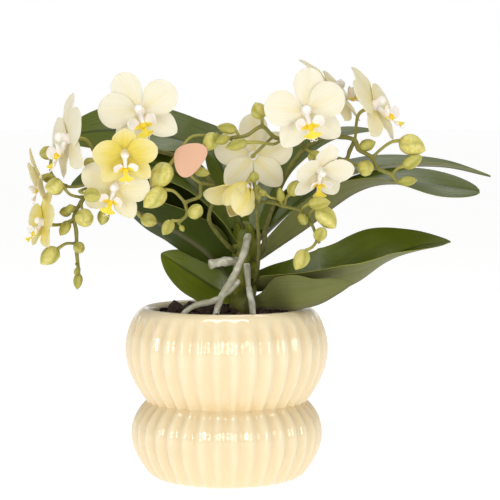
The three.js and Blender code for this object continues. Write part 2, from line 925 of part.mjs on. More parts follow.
function tepals({ spread, dorsalLean = 0 }) {
  const shut = 1 - spread;
  const pieces = TEPALS.map(([kind, degrees, length, width, behind, pointed]) => {
    const angle = radians(kind === 'dorsal' ? degrees + dorsalLean : degrees);
    const openSlopes = kind === 'petal' ? [12, -8] : [6, -14];
    return lobe({
      from: [TEPAL_START * Math.cos(angle), TEPAL_START * Math.sin(angle), behind * (1 + 2 * shut)],
      angle,
      length: length - TEPAL_START,
      width: width * (1 - 0.4 * shut),
      slopes: openSlopes.map((slope, end) => slope + SHUT_SLOPES[end] * shut),
      foot: 0.24,
      pointed,
      cup: kind === 'petal' ? -0.15 : 0.3,
      steps: 3,
      thickness: TEPAL_THICKNESS,
    });
  });
  return fuse([...pieces, hub(), column()]);
}

// A small block with one side square to each tepal.
function hub() {
  // [angle, reach as a share of the hub's radius] of its corners
  const corners = [[53.5, 1.24], [126.5, 1.24], [195, 1.18], [270, 1.36], [345, 1.18]];
  const ring = (height, share) => corners.map(([degrees, reach]) => new THREE.Vector3(
    share * HUB.radius * reach * Math.cos(radians(degrees)),
    share * HUB.radius * reach * Math.sin(radians(degrees)),
    height,
  ));
  return loft([ring(-HUB.behind, 0.8), ring(HUB.before, 1)]);
}

function column() {
  const { radius, length } = COLUMN;
  return tube([[0, 0, 0], [0, 0.6, 3.4], [0, 0.5, length]], (s) => radius * (1 - 0.3 * s ** 4), 5);
}

// The lip stands below the column's foot on a short claw: a middle lobe that bends forward,
// two upright side lobes and the callus between them.
function lip() {
  const { claw, joint, callus } = LIP;
  const [x, y, z] = joint;
  const middle = lobe({
    from: [x, y - 1.2, z],
    angle: -Math.PI / 2,
    length: 9.5,
    width: 7.5,
    slopes: [35, 15],
    foot: 0.35,
    pointed: 1.4,
    cup: 0.4,
    steps: 3,
    thickness: 1,
  });
  const sides = [-1, 1].map((hand) => lobe({
    from: [x + 1.3 * hand, y, z],
    angle: radians(90 - 55 * hand),
    length: 7.5,
    width: 4.8,
    slopes: [25, 60],
    foot: 0.5,
    pointed: 0.7,
    cup: 0,
    steps: 2,
    thickness: 0.9,
    edges: [-1, 1],
  }));
  const block = new THREE.BoxGeometry(...callus).translate(x, y, z);
  return fuse([block, middle, ...sides, tube([claw, joint], () => 1, 4)]);
}

// A flower in a group of its own, which turns it the way it faces.
function flower(name, bloom) {
  const { right, up, out } = flowerFrame(bloom);
  const group = new THREE.Group();
  group.position.set(...bloom.at);
  group.quaternion.setFromRotationMatrix(new THREE.Matrix4().makeBasis(right, up, out));
  group.scale.setScalar(bloom.size);
  group.add(meshOf(name, tepals(bloom), MATERIALS.petal));
  if (!BLOOMS_WITHOUT_LIP.includes(name)) {
    group.add(meshOf(name.replace('bloom', 'lip'), lip(), MATERIALS.lip));
  }
  return group;
}

// ---------------------------------------------------------------- spikes

const BUD_SIDES = 5;

function bud(foot, tip, width) {
  const axis = tip.clone().sub(foot);
  const length = axis.length();
  axis.normalize();
  const side = Math.abs(axis.z) > 0.9 ? new THREE.Vector3(1, 0, 0) : new THREE.Vector3(0, 0, 1);
  const first = side.cross(axis).normalize();
  const second = axis.clone().cross(first);
  // [share of the length, share of the half width]
  const outline = [[-0.02, 0.3], [0.26, 0.9], [0.68, 0.86]];
  const rings = outline.map(([along, share]) => {
    const ring = [];
    for (let j = 0; j < BUD_SIDES; j++) {
      const angle = (2 * Math.PI * j) / BUD_SIDES;
      ring.push(foot.clone()
        .addScaledVector(axis, along * length)
        .addScaledVector(first, 0.5 * width * share * Math.cos(angle))
        .addScaledVector(second, 0.5 * width * share * Math.sin(angle)));
    }
    return ring;
  });
  return loft(rings, tip.clone());
}

const STALK_RADIUS = 0.85;
const FLOWER_STALK_RADIUS = 1.1;

// The stalk of an open flower ends just behind the flower's hub.
function flowerStalk(bloom) {
  const { out } = flowerFrame(bloom);
  const end = point(bloom.at).addScaledVector(out, -bloom.size * HUB.behind - CLEARANCE);
  const before = point(bloom.stalk[bloom.stalk.length - 1]);
  const approach = end.clone().addScaledVector(out, -0.4 * before.distanceTo(end));
  const path = [...bloom.stalk, approach.toArray(), end.toArray()];
  return tube(path, () => FLOWER_STALK_RADIUS, 4);
}

function spike(name) {
  const { radius, path, branches, buds } = SPIKES[name];
  const parts = [tube(path, (s) => radius * (1 - 0.3 * s), 5)];
  for (const branch of branches) {
    parts.push(tube(branch, (s) => radius * (0.8 - 0.2 * s), 4));
  }
  for (const { stalk, tip, width } of buds) {
    const foot = stalk[stalk.length - 1];
    parts.push(tube(stalk, () => Math.min(STALK_RADIUS, width * 0.16), 4));
    parts.push(bud(point(foot), point(tip), width));
  }
  for (const bloom of Object.values(BLOOMS).filter((each) => each.on === name)) {
    parts.push(flowerStalk(bloom));
  }
  return fuse(parts);
}

// ---------------------------------------------------------------- the blank card tag

function tag() {
  const { width, height, thickness } = TAG;
  const shape = new THREE.Shape();
  // A rounded triangle with its point at the lower left.
  shape.moveTo(-0.5 * width, 0.1 * height);
  shape.bezierCurveTo(-0.5 * width, 0.46 * height, 0.05 * width, 0.5 * height, 0.22 * width, 0.48 * height);
  shape.bezierCurveTo(0.5 * width, 0.45 * height, 0.6 * width, 0.22 * height, 0.42 * width, 0);
  shape.bezierCurveTo(0.3 * width, -0.2 * height, 0.05 * width, -0.5 * height, -0.15 * width, -0.5 * height);
  shape.bezierCurveTo(-0.4 * width, -0.5 * height, -0.5 * width, -0.2 * height, -0.5 * width, 0.1 * height);
  const card = new THREE.ExtrudeGeometry(shape, { depth: thickness, bevelEnabled: false, curveSegments: 5 });
  const mesh = meshOf('tag', solidOf(card), MATERIALS.card);
  mesh.rotation.x = Math.PI / 2;
  mesh.position.set(...TAG.at);
  return mesh;
}

// ---------------------------------------------------------------- the whole

const potted = new THREE.Group();
potted.name = 'potted_orchid';

const stemRoom = stem(CLEARANCE);

potted.add(meshOf('pot', ceramicPot(), MATERIALS.glaze));
potted.add(meshOf('grow_pot', growPot(), MATERIALS.plastic));
potted.add(meshOf('bark', barkRoundRoots(stemRoom), MATERIALS.bark));
potted.add(meshOf('stem', stem(), MATERIALS.stem));
for (const [name, shape] of Object.entries(LEAVES)) {
  potted.add(meshOf(name, leaf(shape).subtract(stemRoom), MATERIALS.leaf));
}
for (const [name, shape] of Object.entries(ROOTS)) {
  potted.add(meshOf(name, root(shape).subtract(stemRoom), MATERIALS.root));
}
for (const name of Object.keys(SPIKES)) {
  potted.add(meshOf(name, spike(name).subtract(stemRoom), MATERIALS.spike));
}
for (const [name, bloom] of Object.entries(BLOOMS)) {
  potted.add(flower(name, bloom));
}
potted.add(tag());

export default potted;
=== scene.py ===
# Potted orchid: a small moth orchid with four flower spikes in a ribbed ceramic pot with a waist.
# The tables are in millimetres and degrees, +X to the right, +Z up and the front at -Y; the meshes
# are in metres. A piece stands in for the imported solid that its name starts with.

import json
import math
from collections import namedtuple

import bmesh
import bpy
import numpy as np
from mathutils import Matrix, Vector, noise

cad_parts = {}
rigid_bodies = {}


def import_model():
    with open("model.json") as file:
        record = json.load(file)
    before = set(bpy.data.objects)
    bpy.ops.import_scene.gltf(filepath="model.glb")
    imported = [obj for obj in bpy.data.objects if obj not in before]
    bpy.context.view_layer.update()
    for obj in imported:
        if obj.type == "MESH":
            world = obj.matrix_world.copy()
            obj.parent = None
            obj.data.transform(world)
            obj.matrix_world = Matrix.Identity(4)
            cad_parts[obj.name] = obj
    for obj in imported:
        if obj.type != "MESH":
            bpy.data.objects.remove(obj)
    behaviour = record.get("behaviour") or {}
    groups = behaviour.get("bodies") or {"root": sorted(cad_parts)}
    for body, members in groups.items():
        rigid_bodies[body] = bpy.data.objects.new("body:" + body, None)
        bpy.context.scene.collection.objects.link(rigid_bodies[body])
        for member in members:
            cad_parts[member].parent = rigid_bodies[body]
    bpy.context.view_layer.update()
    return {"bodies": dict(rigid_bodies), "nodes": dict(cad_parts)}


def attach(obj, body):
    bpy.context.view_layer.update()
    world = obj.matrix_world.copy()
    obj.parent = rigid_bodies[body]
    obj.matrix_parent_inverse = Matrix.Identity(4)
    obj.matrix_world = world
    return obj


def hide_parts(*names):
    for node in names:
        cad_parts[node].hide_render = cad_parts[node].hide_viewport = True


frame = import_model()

BODY = next(iter(frame["bodies"]))
# Without a seed this noise would differ from run to run.
noise.seed_set(7)

MM = 0.001
# In radians: turned by it from one to the next, points spread evenly over a disc.
GOLDEN_ANGLE = 2.39996

# ---------------- driving dimensions

POT_RIBS = 36
POT_RIB_DEPTH = 1.9
POINTS_PER_RIB = 14
# Rows of points down the inside that keep the lip's colour, above the painted shade inside.
LIP_ROWS = 6
# (radius, height, share of the rib depth)
POT_FOOT = [(33, 1.4, 0), (35, 0.2, 0), (36, 0, 0), (40.4, 0, 0.35)]
POT_LOWER = [
    (40.4, 0, 0.35), (43.2, 0.9, 0.5), (46.6, 3.1, 0.7), (51.4, 9.2, 0.9), (55.6, 17.5, 1), (57.5, 27, 1),
    (56.2, 35.5, 1), (52.4, 42.2, 1), (48.4, 46.5, 1),
]
POT_UPPER = [
    (48.4, 46.5, 1), (51.8, 51.6, 1), (56.7, 60.2, 1), (59.9, 69.5, 1), (60.9, 78, 1), (60.1, 86, 1),
    (58.3, 92, 0.95), (56.2, 96.6, 0.5), (53.6, 100.3, 0), (51.2, 102.2, 0), (49.2, 103, 0),
    (47.5, 102.2, 0), (46.7, 100, 0),
]
POT_INSIDE = [
    (46.7, 100, 0), (46.9, 96, 0), (49.5, 87, 0), (49, 76, 0), (44, 62, 0), (43.5, 30, 0), (40, 12, 0),
    (35, 7, 0),
]

BARK_TOP = 95.6
BARK_RADIUS = 41.5
CHIPS, PALE_BITS, STRANDS = 330, 26, 60
# (x, y, z, half the length)
LARGE_CHIPS = [
    (-31, 8, 101, 6.3), (-25, 2, 101, 6), (-34, -2, 98.5, 4.5), (-9, 0, 101, 5), (-13, -8, 100.5, 4.5),
    (24, 12, 98, 5), (33, 4, 98.5, 4.5), (2, 26, 98.5, 6), (-16, 24, 98.5, 6), (22, 28, 98.5, 5.5),
    (-1, -7, 101, 4), (4, -11, 101, 3), (19, -8, 100.5, 3.2), (-5, -2, 102, 4),
]

# The stem's outline: (height, radius). Its swellings are the sheaths of the leaves.
STEM_X, STEM_Y = 10.5, 4
STEM_OUTLINE = [
    (66, 6), (90, 7.5), (98, 8.1), (104, 8.5), (108, 7.4), (112, 8), (118, 9.2), (123, 8.6), (127, 7.9),
    (132, 8.4), (139, 8.8), (144, 7.4), (150, 6.3), (153.5, 3.5), (154.4, 0.6),
]

# Each leaf: (width, share of it at the stem, pointedness, tones of the upper and under face, path).
# Tone 0 is dark and 1 is yellow-green above and grey-green below. The dark end is partly
# painted shade: the leaves deep in the shadow of others, such as left_third and left_low, take it.
# The path's points are (x, y, z, lean, fold) from the stem to the tip along the midrib. lean turns
# the upper face towards the front, and fold raises the two halves from flat.
LEAVES = {
    "left_top": (44, 0.4, 0.6, (0.45, 0.3), [
        (7, 11, 148, 10, 38), (3, 23, 167.5, 14, 36), (-9, 34.5, 192.5, 18, 28), (-29, 36, 201.5, 32, 18),
        (-51, 38, 207, 43, 13), (-76, 40, 208, 50, 10), (-103, 44, 205, 50, 8),
    ]),
    "left_second": (34, 0.24, 0.7, (0.3, 0.15), [
        (6, 0, 138, 0, 40), (-7, 1, 156, 8, 32), (-21, 5, 174.3, 16, 22), (-41, 16, 186.3, 22, 18),
        (-62, 17, 185.5, 26, 15), (-80, 17, 181, 30, 12), (-95, 17, 175, 30, 10),
    ]),
    "left_third": (40, 0.24, 0.7, (0, 0), [
        (7, 6.5, 126.5, 10, 35), (-4, 9, 143, 28, 30), (-15, 9, 153, 46, 22), (-29, 9, 162, 55, 16),
        (-44, 8, 168, 52, 12), (-58, 7, 172, 48, 10), (-72, 6, 175, 44, 10),
    ]),
    "left_low": (33, 0.34, 0.6, (0, 0), [
        (7, 4, 114, -10, 35), (-2, 2, 125, -28, 28), (-14, -5, 137.5, -37, 20), (-28, -12, 148, -38, 15),
        (-42, -16, 156, -36, 12), (-55, -18, 164, -34, 10), (-65, -18, 172, -30, 10),
    ]),
    "left_bottom": (28, 0.4, 0.75, (0.75, 0.4), [
        (8, 8, 106, 55, 25), (-6, 12, 112, 66, 18), (-17, 13, 119, 70, 14), (-28, 14, 126, 70, 10),
        (-40, 15, 134, 70, 10),
    ]),
    "right_top": (36, 0.34, 0.75, (0.4, 0.6), [
        (14, 6, 138, 10, 36), (28, 10, 151, 12, 30), (44, 17, 165, 12, 25), (60, 24, 175, 10, 20),
        (75, 29.5, 182, 8, 16), (94, 33, 186, 8, 14), (115, 36, 187.5, 8, 12), (137, 38, 186.5, 6, 10),
        (163, 40, 180.5, 4, 10),
    ]),
    "right_second": (38, 0.34, 0.55, (0.3, 1), [
        (14, 3, 128, -20, 40), (30, 2, 139, -20, 38), (48, 0, 151.5, -16, 36), (64, 0, 164, -8, 30),
        (77, 0, 172.5, 0, 22), (90, 1, 177, 6, 14), (106, 2, 177.5, 16, 10), (128, 3, 175, 30, 8),
        (152, 4, 172, 34, 6),
    ]),
    "right_low": (54, 0.48, 0.8, (0.5, 0.8), [
        (13, 7.6, 112.4, 8, 40), (27, 2, 113.5, 18, 50), (42, -5, 112.5, 22, 55), (58, -10, 112.5, 24, 58),
        (76, -12, 119, 24, 54), (95, -9, 131.5, 22, 38), (113, -5, 138.5, 22, 22), (134, -2, 142.5, 22, 10),
    ]),
    "right_bottom": (38, 0.3, 0.8, (0.3, 0.85), [
        (15, 1, 104, -10, 50), (27, -10, 104, -20, 50), (41, -31, 105.5, -28, 50), (54, -38, 109, -34, 48),
        (64, -39, 114.5, -36, 42), (74, -38, 121, -36, 36),
    ]),
    "back": (24, 0.6, 0.7, (0.4, 0.5), [
        (17, 8, 148, 5, 25), (26, 23, 168, 10, 22), (42, 32, 189, 15, 18), (66, 37, 205, 18, 12),
        (90, 42, 209, 20, 10),
    ]),
}

# Each root: its tubes as (radius, path).
ROOTS = {
    "left": [(2.1, [
        (13, -3, 146), (10, -13, 135), (4, -17, 122), (-3, -18, 110), (-6, -20, 101), (-8, -22, 88),
    ]), (1.78, [
        (7, -14, 120), (2, -17, 114), (-8, -20, 108), (-18, -25, 106), (-25, -28, 101), (-27, -29, 90),
    ])],
    "right": [(1.9, [
        (12, -4, 129), (13, -9, 117), (15, -12, 107), (16, -14, 98), (17, -15, 86),
    ])],
    "stub": [(2.7, [
        (8, -2, 130), (1, -9, 131), (-11, -12, 129),
    ])],
}

# A spike is a stem with side branches and stalked buds, each as (width, tip, stalk). A bud stands
# on the last point of its stalk.
Spike = namedtuple("Spike", "radius path buds branches", defaults=((),))
SPIKES = {
    "left": Spike(1.5, path=[
        (10, -1, 150), (7, -9, 156), (0, -16, 166), (-12, -24, 182), (-27, -30, 193), (-44, -33, 197),
        (-61, -36, 193), (-73, -38, 187), (-77, -38, 181), (-79, -38, 174), (-84, -38, 167), (-88, -37, 159),
        (-87, -35, 150), (-87, -33, 138), (-86, -32, 126),
    ], buds=[
        (8, (-109, -27, 195), [(-96, -30, 177), (-103, -22, 185), (-102, -22, 196)]),
        (10, (-104, -46, 176), [(-83, -38, 170), (-90, -41, 172), (-94, -42, 177)]),
        (5.5, (-109, -14, 181), [(-93, -31, 176.6), (-97, -24, 178), (-101, -20, 180)]),
        (6, (-97, -34, 161), [(-87, -37, 162), (-90, -35, 162)]),
        (5, (-91, -47, 162), [(-86, -38, 164), (-89, -42, 165)]),
        (6.2, (-96, -40, 148), [(-88, -37, 158), (-91, -38, 156)]),
        (10.5, (-81, -55, 157), [(-84, -38, 167), (-82, -44, 160)]),
        (6.6, (-84, -46, 140), [(-87, -34, 144), (-86, -38, 142)]),
        (9.8, (-108, -34, 131), [(-87, -34, 143), (-93, -34, 143), (-98, -34, 140)]),
        (3, (-88, -37, 125), [(-87, -33, 131), (-86, -35, 129)]),
        (5.4, (-87, -32, 116), [(-86, -32, 128), (-86, -32, 125)]),
        (8.2, (-71, -59, 171), [(-79, -38, 176), (-84, -46, 174), (-80, -54, 173)]),
        (7, (-72, -40, 154), [(-80, -38, 172), (-74, -37, 168), (-70, -38, 163)]),
        (7.2, (-80, -49, 191), [(-73, -38, 187), (-77, -42, 189)]),
        (8, (-40, -36, 155), [(-63, -36, 193), (-61, -33, 180), (-55, -32, 165), (-49, -33, 158)]),
    ]),
    "centre": Spike(1.3, path=[
        (6, -1, 135), (1, -11, 140), (-6, -19, 149), (-10, -28, 157), (-8, -33, 166), (-4, -37, 174),
        (-14, -41, 178), (-15, -43, 171), (-23, -45, 167), (-22, -46, 161), (-27, -47, 156),
    ], buds=[
        (11, (-47, -50, 165), [(-23, -45, 167), (-30, -46, 174), (-35, -47, 175)]),
        (6.8, (-36, -50, 149), [(-26, -47, 157), (-31, -48, 157)]),
        (8.2, (-14, -55, 166), [(-22, -46, 161), (-20, -49, 160)]),
        (3, (-24, -49, 151), [(-27, -47, 156), (-26, -48, 154)]),
        (5.6, (-9, -46, 184), [(-14, -41, 178), (-20, -41, 183), (-18, -43, 186)]),
    ]),
    "right": Spike(1.6, path=[
        (17, -4, 131), (22, -10, 139), (23, -13, 150), (27, -16, 163), (35, -20, 183), (44, -24, 196),
        (55, -28, 204), (67, -30, 205), (75, -31, 203), (77, -32, 198), (85, -33, 193), (88, -34, 187),
        (96, -35, 183), (100, -36, 178),
    ], branches=[[
        (46, -25, 198), (41, -31, 206), (33, -35, 204), (28, -37, 205), (21, -39, 211), (12, -41, 206),
        (6, -42, 205), (0, -43, 204),
    ], [
        (75, -31, 203), (72, -31, 197), (70, -31, 192), (64, -29, 193),
    ]], buds=[
        (9, (-12, -46, 197), [(0, -43, 204), (-6, -44, 207)]),
        (6.4, (-5, -43, 211), [(8, -42, 205), (6, -42, 209)]),
        (6.4, (0, -47, 199), [(33, -35, 204), (28, -39, 201), (19, -43, 202), (12, -44, 202)]),
        (5.6, (-5, -54, 202), [(3, -43, 204), (1, -47, 205)]),
        (9.2, (17, -39, 225), [(21, -39, 211), (21, -39, 216)]),
        (12.5, (-43, -46, 176), [
            (0, -43, 204), (-12, -43, 206), (-20, -46, 205), (-25, -48, 199), (-32, -45, 189),
        ]),
        (7, (87, -33, 202), [(75, -31, 203), (78, -32, 199)]),
        (12, (116, -33, 197), [(85, -33, 193), (89, -33, 197), (96, -33, 202), (101, -33, 203)]),
        (7.4, (114, -36, 194), [(96, -35, 183), (100, -35, 187), (103, -35, 188)]),
        (9.2, (82, -46, 186), [(70, -31, 192), (75, -33, 189), (79, -37, 188)]),
        (5.6, (111, -36, 180), [(99, -36, 179), (101, -36, 179)]),
        (8.4, (55, -33, 188), [(46, -25, 198), (50, -28, 196)]),
    ]),
    "front": Spike(1.25, path=[
        (15, -3, 115), (18, -10, 123), (19, -15, 134), (19, -19, 147), (18, -24, 158), (19, -28, 166),
        (26, -32, 167), (33, -35, 165), (44, -40, 162), (49, -43, 156), (52, -45, 149), (54, -46, 144),
    ], buds=[
        (6, (16, -42, 185), [(19, -28, 166), (17, -34, 174), (16, -38, 180)]),
        (5.2, (17, -39, 178), [(19, -28, 166), (19, -34, 169)]),
        (3.8, (19, -43, 174), [(33, -35, 165), (30, -37, 169), (26, -39, 170), (23, -40, 172)]),
        (7.4, (60, -54, 168), [(44, -40, 162), (45, -45, 165), (48, -49, 167)]),
        (8.2, (43, -43, 180), [(34, -35, 165), (35, -38, 170), (37, -40, 172)]),
        (4.6, (31, -43, 176), [(33, -35, 165), (32, -39, 168)]),
        (10.6, (63, -52, 153), [(47, -42, 158), (50, -45, 163), (53, -47, 164)]),
        (7.2, (57, -55, 153), [(52, -45, 150), (52, -49, 147)]),
        (9, (40, -50, 129), [(53, -45, 146), (50, -47, 142), (46, -48, 140)]),
        (5.6, (46, -50, 155), [(44, -40, 162), (43, -44, 160)]),
    ]),
}

# at is the middle of the flower; facing is (azimuth, elevation), where azimuth 0 faces the front and
# 90 the right; roll turns it anticlockwise as seen from in front of it. spread is 1 for a flat open
# flower and less for a cupped one. stalk leads from the spike that it is on. yellow tints it.
# dorsal_lean turns the top tepal anticlockwise and hood curls it forward.
Bloom = namedtuple(
    "Bloom", "at facing roll size spread on stalk yellow dorsal_lean hood", defaults=(0.05, 0, 0),
)
BLOOMS = {
    "a": Bloom((-91, -40, 204), (-66, 4), 12, 1.1, 1, "left", [(-73, -38, 187)], yellow=0.15),
    "b": Bloom((-109, -28, 181), (-90, -16), 0, 0.74, 0.9, "left", [
        (-78, -38, 178), (-89, -32, 176), (-96, -30, 177),
    ], yellow=0.4),
    "c": Bloom((-106, -37, 155.5), (-60, 12), 0, 0.76, 0.95, "left", [(-88, -37, 156)], yellow=0.9),
    "d": Bloom((-63.5, -47, 176.5), (-8, -12), -15, 0.88, 0.95, "left", [(-76, -38, 183)], yellow=0.3),
    "e": Bloom((-57, -62, 196), (8, -22), 4, 0.86, 0.74, "left", [
        (-72, -38, 188), (-72, -48, 194),
    ], yellow=0.95, hood=28),
    "f": Bloom((-49, -47, 220), (-4, 6), 17, 1.02, 1, "left", [(-46, -33.5, 197)], dorsal_lean=15),
    "i": Bloom((11, -44, 175.5), (-40, -48), 0, 1.04, 0.3, "front", [(19, -29, 166)], yellow=0.75),
    "j": Bloom((16, -22, 194), (178, 0), 0, 1, 1, "right", [(27, -36.6, 205)], yellow=0.12),
    "m": Bloom((46, -50, 220), (4, 4), 11, 1.02, 1, "right", [(55, -28, 204)], dorsal_lean=-17),
    "n": Bloom((63.5, -17, 231.5), (74, 42), 0, 1.14, 1, "right", [(66, -30, 205)], yellow=0.4),
    "o": Bloom((86, -34, 223), (66, 26), -4, 1.08, 1, "right", [(75, -31, 203)], yellow=0.4),
    "q": Bloom((54, -46, 186), (24, -34), 0, 0.84, 0.76, "right", [(65, -29, 193)]),
}

# ---------------- shapes

# tone runs from 0 to 1 over a part and mixes its material's colours; paint is its material's place
# in the piece's list.
Part = namedtuple("Part", "points faces uv tone paint")


def unit(vectors):
    return vectors / np.maximum(np.linalg.norm(vectors, axis=-1, keepdims=True), 1e-9)


def towards(azimuth, elevation):
    """The direction at an azimuth and an elevation. Azimuth 0 is the front and 90 the right."""
    turn, lift = math.radians(azimuth), math.radians(elevation)
    return np.array([math.sin(turn) * math.cos(lift), -math.cos(turn) * math.cos(lift), math.sin(lift)])


def smooth_path(points, count):
    """Evenly spaced points on a smooth curve through the given ones; further columns follow along."""
    given = np.array(points, float)
    given = np.vstack([2 * given[0] - given[1], given, 2 * given[-1] - given[-2]])
    gaps = np.sqrt(np.linalg.norm(np.diff(given[:, :3], axis=0), axis=1))
    s = np.linspace(0, 1, 20, endpoint=False)[:, None]
    fine = []
    for i in range(1, len(given) - 2):
        before, here, after = gaps[i - 1:i + 2]
        step = given[i + 1] - given[i]
        arc_before = (given[i + 1] - given[i - 1]) / (before + here)
        arc_after = (given[i + 2] - given[i]) / (here + after)
        leave = here * ((given[i] - given[i - 1]) / before - arc_before) + step
        arrive = here * ((given[i + 2] - given[i + 1]) / after - arc_after) + step
        cubic = leave + arrive - 2 * step
        fine.append(given[i] + s * leave + s**2 * (step - leave - cubic) + s**3 * cubic)
    fine = np.vstack([*fine, given[-2]])
    length = np.append(0, np.cumsum(np.linalg.norm(np.diff(fine[:, :3], axis=0), axis=1)))
    even = np.linspace(0, length[-1], count)
    return np.column_stack([np.interp(even, length, column) for column in fine.T])


def full_turn(count):
    """Angles all the way round, in equal steps."""
    return np.arange(count) * 2 * math.pi / count


def level_rings(radii, heights, angles, middle=(0, 0)):
    """Rings about an upright axis."""
    return np.stack([middle[0] + radii * np.cos(angles), middle[1] + radii * np.sin(angles),
                     heights + 0 * angles], axis=-1)


def loft(rings, tone=0.0, paint=0):
    """A closed solid through rings of the same number of points, with a fan at both ends."""
    count, sides = rings.shape[:2]
    here = np.arange(count * sides).reshape(count, sides)
    beside = np.roll(here, -1, axis=1)
    quads = np.stack([here[:-1], beside[:-1], beside[1:], here[1:]], axis=-1).reshape(-1, 4)
    first, last = count * sides, count * sides + 1
    fans = [(beside[0, j], here[0, j], first) for j in range(sides)]
    fans += [(here[-1, j], beside[-1, j], last) for j in range(sides)]
    points = np.vstack([rings.reshape(-1, 3), rings[0].mean(axis=0), rings[-1].mean(axis=0)])
    along, around = np.meshgrid(np.linspace(0, 1, count), np.arange(sides) / sides, indexing="ij")
    uv = np.vstack([np.column_stack([around.ravel(), along.ravel()]), (0.5, 0), (0.5, 1)])
    tone = np.asarray(tone, float)
    tone = np.broadcast_to(tone[:, None] if tone.ndim == 1 else tone, (count, sides))
    tone = np.concatenate([tone.ravel(), tone[0, :1], tone[-1, :1]])
    return Part(points, quads.tolist() + fans, uv, tone, paint)


def sweep(path, radii, sides=12, tone=0.0, paint=0):
    """A round bar along a path. Its section doesn't twist."""
    path = np.asarray(path, float)[:, :3]
    radii = np.broadcast_to(radii, len(path))
    angles = full_turn(sides)
    headings = unit(np.gradient(path, axis=0))
    normal = np.array([1.0, 0, 0] if abs(headings[0, 2]) > 0.9 else [0, 0, 1.0])
    rings = []
    for middle, heading, radius in zip(path, headings, radii):
        normal = unit(normal - normal.dot(heading) * heading)
        binormal = np.cross(heading, normal)
        circle = np.outer(np.cos(angles), normal) + np.outer(np.sin(angles), binormal)
        rings.append(middle + radius * circle)
    return loft(np.array(rings), tone, paint)


def blade(grid, thickness, tones=(0.0, 0.0), paints=(0, 0)):
    """A thin closed solid over a grid of points, with a tone and a paint for each face."""
    rows, columns = grid.shape[:2]
    normals = unit(np.cross(np.gradient(grid, axis=0), np.gradient(grid, axis=1)))
    lift = normals * np.broadcast_to(thickness, (rows, columns))[..., None] / 2
    points = np.vstack([(grid + lift).reshape(-1, 3), (grid - lift).reshape(-1, 3)])
    index = np.arange(rows * columns).reshape(rows, columns)
    quads = np.stack([index[:-1, :-1], index[1:, :-1], index[1:, 1:], index[:-1, 1:]], axis=-1)
    quads = quads.reshape(-1, 4)
    under = quads[:, ::-1] + rows * columns
    rim = np.concatenate([index[:, 0], index[-1, 1:], index[-2::-1, -1], index[0, -2:0:-1]])
    rim_next = np.roll(rim, -1)
    edge = np.column_stack([rim, rim + rows * columns, rim_next + rows * columns, rim_next])
    faces = np.vstack([quads, under, edge])
    along, across = np.meshgrid(np.linspace(0, 1, rows), np.linspace(0, 1, columns), indexing="ij")
    uv = np.tile(np.column_stack([across.ravel(), along.ravel()]), (2, 1))
    tone = np.concatenate([np.broadcast_to(each, (rows, columns)).ravel() for each in tones])
    paint = np.repeat(paints, [len(quads), len(under) + len(edge)])
    return Part(points, faces.tolist(), uv, tone, paint)


def roughen(part, amount, size, seed):
    """Moves the points of a part by a smooth random amount, in lumps of a size."""
    shift = Vector((seed * 17.3, seed * 5.1, seed * 29.7))
    moved = [Vector(p) + amount * noise.noise_vector(Vector(p) / size + shift) for p in part.points]
    return part._replace(points=np.array(moved))


def add(name, data, place=(0, 0, 0), target=None):
    """A new object in the scene. A light or camera looks at its target."""
    made = bpy.data.objects.new(name, data)
    made.location = place
    if target:
        made.rotation_euler = (target - place).to_track_quat("-Z", "Y").to_euler()
    bpy.context.scene.collection.objects.link(made)
    return made


def piece(stands_for, ending, parts, finishes, crease=50):
    """One object of several parts, in metres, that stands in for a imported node."""
    name = f"{stands_for}_{ending}"
    points = np.vstack([part.points for part in parts]) * MM
    faces, start = [], 0
    for part in parts:
        faces += [[start + corner for corner in face] for face in part.faces]
        start += len(part.points)
    mesh = bpy.data.meshes.new(name)
    mesh.from_pydata(points.tolist(), [], faces)
    corners = np.empty(len(mesh.loops), np.int32)
    mesh.loops.foreach_get("vertex_index", corners)
    uv = np.vstack([part.uv for part in parts])
    mesh.uv_layers.new(name="UVMap").data.foreach_set("uv", uv[corners].ravel())
    tone = np.concatenate([np.broadcast_to(part.tone, len(part.points)) for part in parts])
    mesh.attributes.new("tone", "FLOAT", "POINT").data.foreach_set("value", tone)
    paint = np.concatenate([np.broadcast_to(part.paint, len(part.faces)) for part in parts])
    mesh.polygons.foreach_set("material_index", paint.astype(np.int32))
    mesh.polygons.foreach_set("use_smooth", np.ones(len(faces), bool))
    for finish in finishes:
        mesh.materials.append(finish.material)
    shell = bmesh.new()
    shell.from_mesh(mesh)
    bmesh.ops.recalc_face_normals(shell, faces=shell.faces)
    shell.to_mesh(mesh)
    shell.free()
    mesh.set_sharp_from_angle(angle=math.radians(crease))
    made = add(name, mesh)
    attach(made, BODY)
    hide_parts(stands_for)


# ---------------- materials

def colour(code):
    """The linear colour of a #rrggbb code."""
    channels = [int(code[i:i + 2], 16) / 255 for i in (1, 3, 5)]
    return (*[c / 12.92 if c <= 0.04045 else ((c + 0.055) / 1.055) ** 2.4 for c in channels], 1)


class Nodes:
    """Short calls that add nodes to a tree."""

    def __init__(self, tree):
        self.tree = tree

    def node(self, kind, inputs=None, **settings):
        made = self.tree.nodes.new("ShaderNode" + kind)
        for key, value in settings.items():
            setattr(made, key, value)
        for socket, value in (inputs or {}).items():
            self.put(made.inputs[socket], value)
        return made

    def put(self, socket, value):
        if isinstance(value, bpy.types.NodeSocket):
            self.tree.links.new(value, socket)
        else:
            socket.default_value = value

    def math(self, operation, first, second=0.0):
        return self.node("Math", {0: first, 1: second}, operation=operation).outputs[0]

    def times(self, value, factor):
        return self.math("MULTIPLY", value, factor)

    def band(self, value, low, high, out_low=0.0, out_high=1.0):
        """A value mapped smoothly from low and high to two others."""
        inputs = {0: value, 1: low, 2: high, 3: out_low, 4: out_high}
        return self.node("MapRange", inputs, interpolation_type="SMOOTHSTEP").outputs[0]


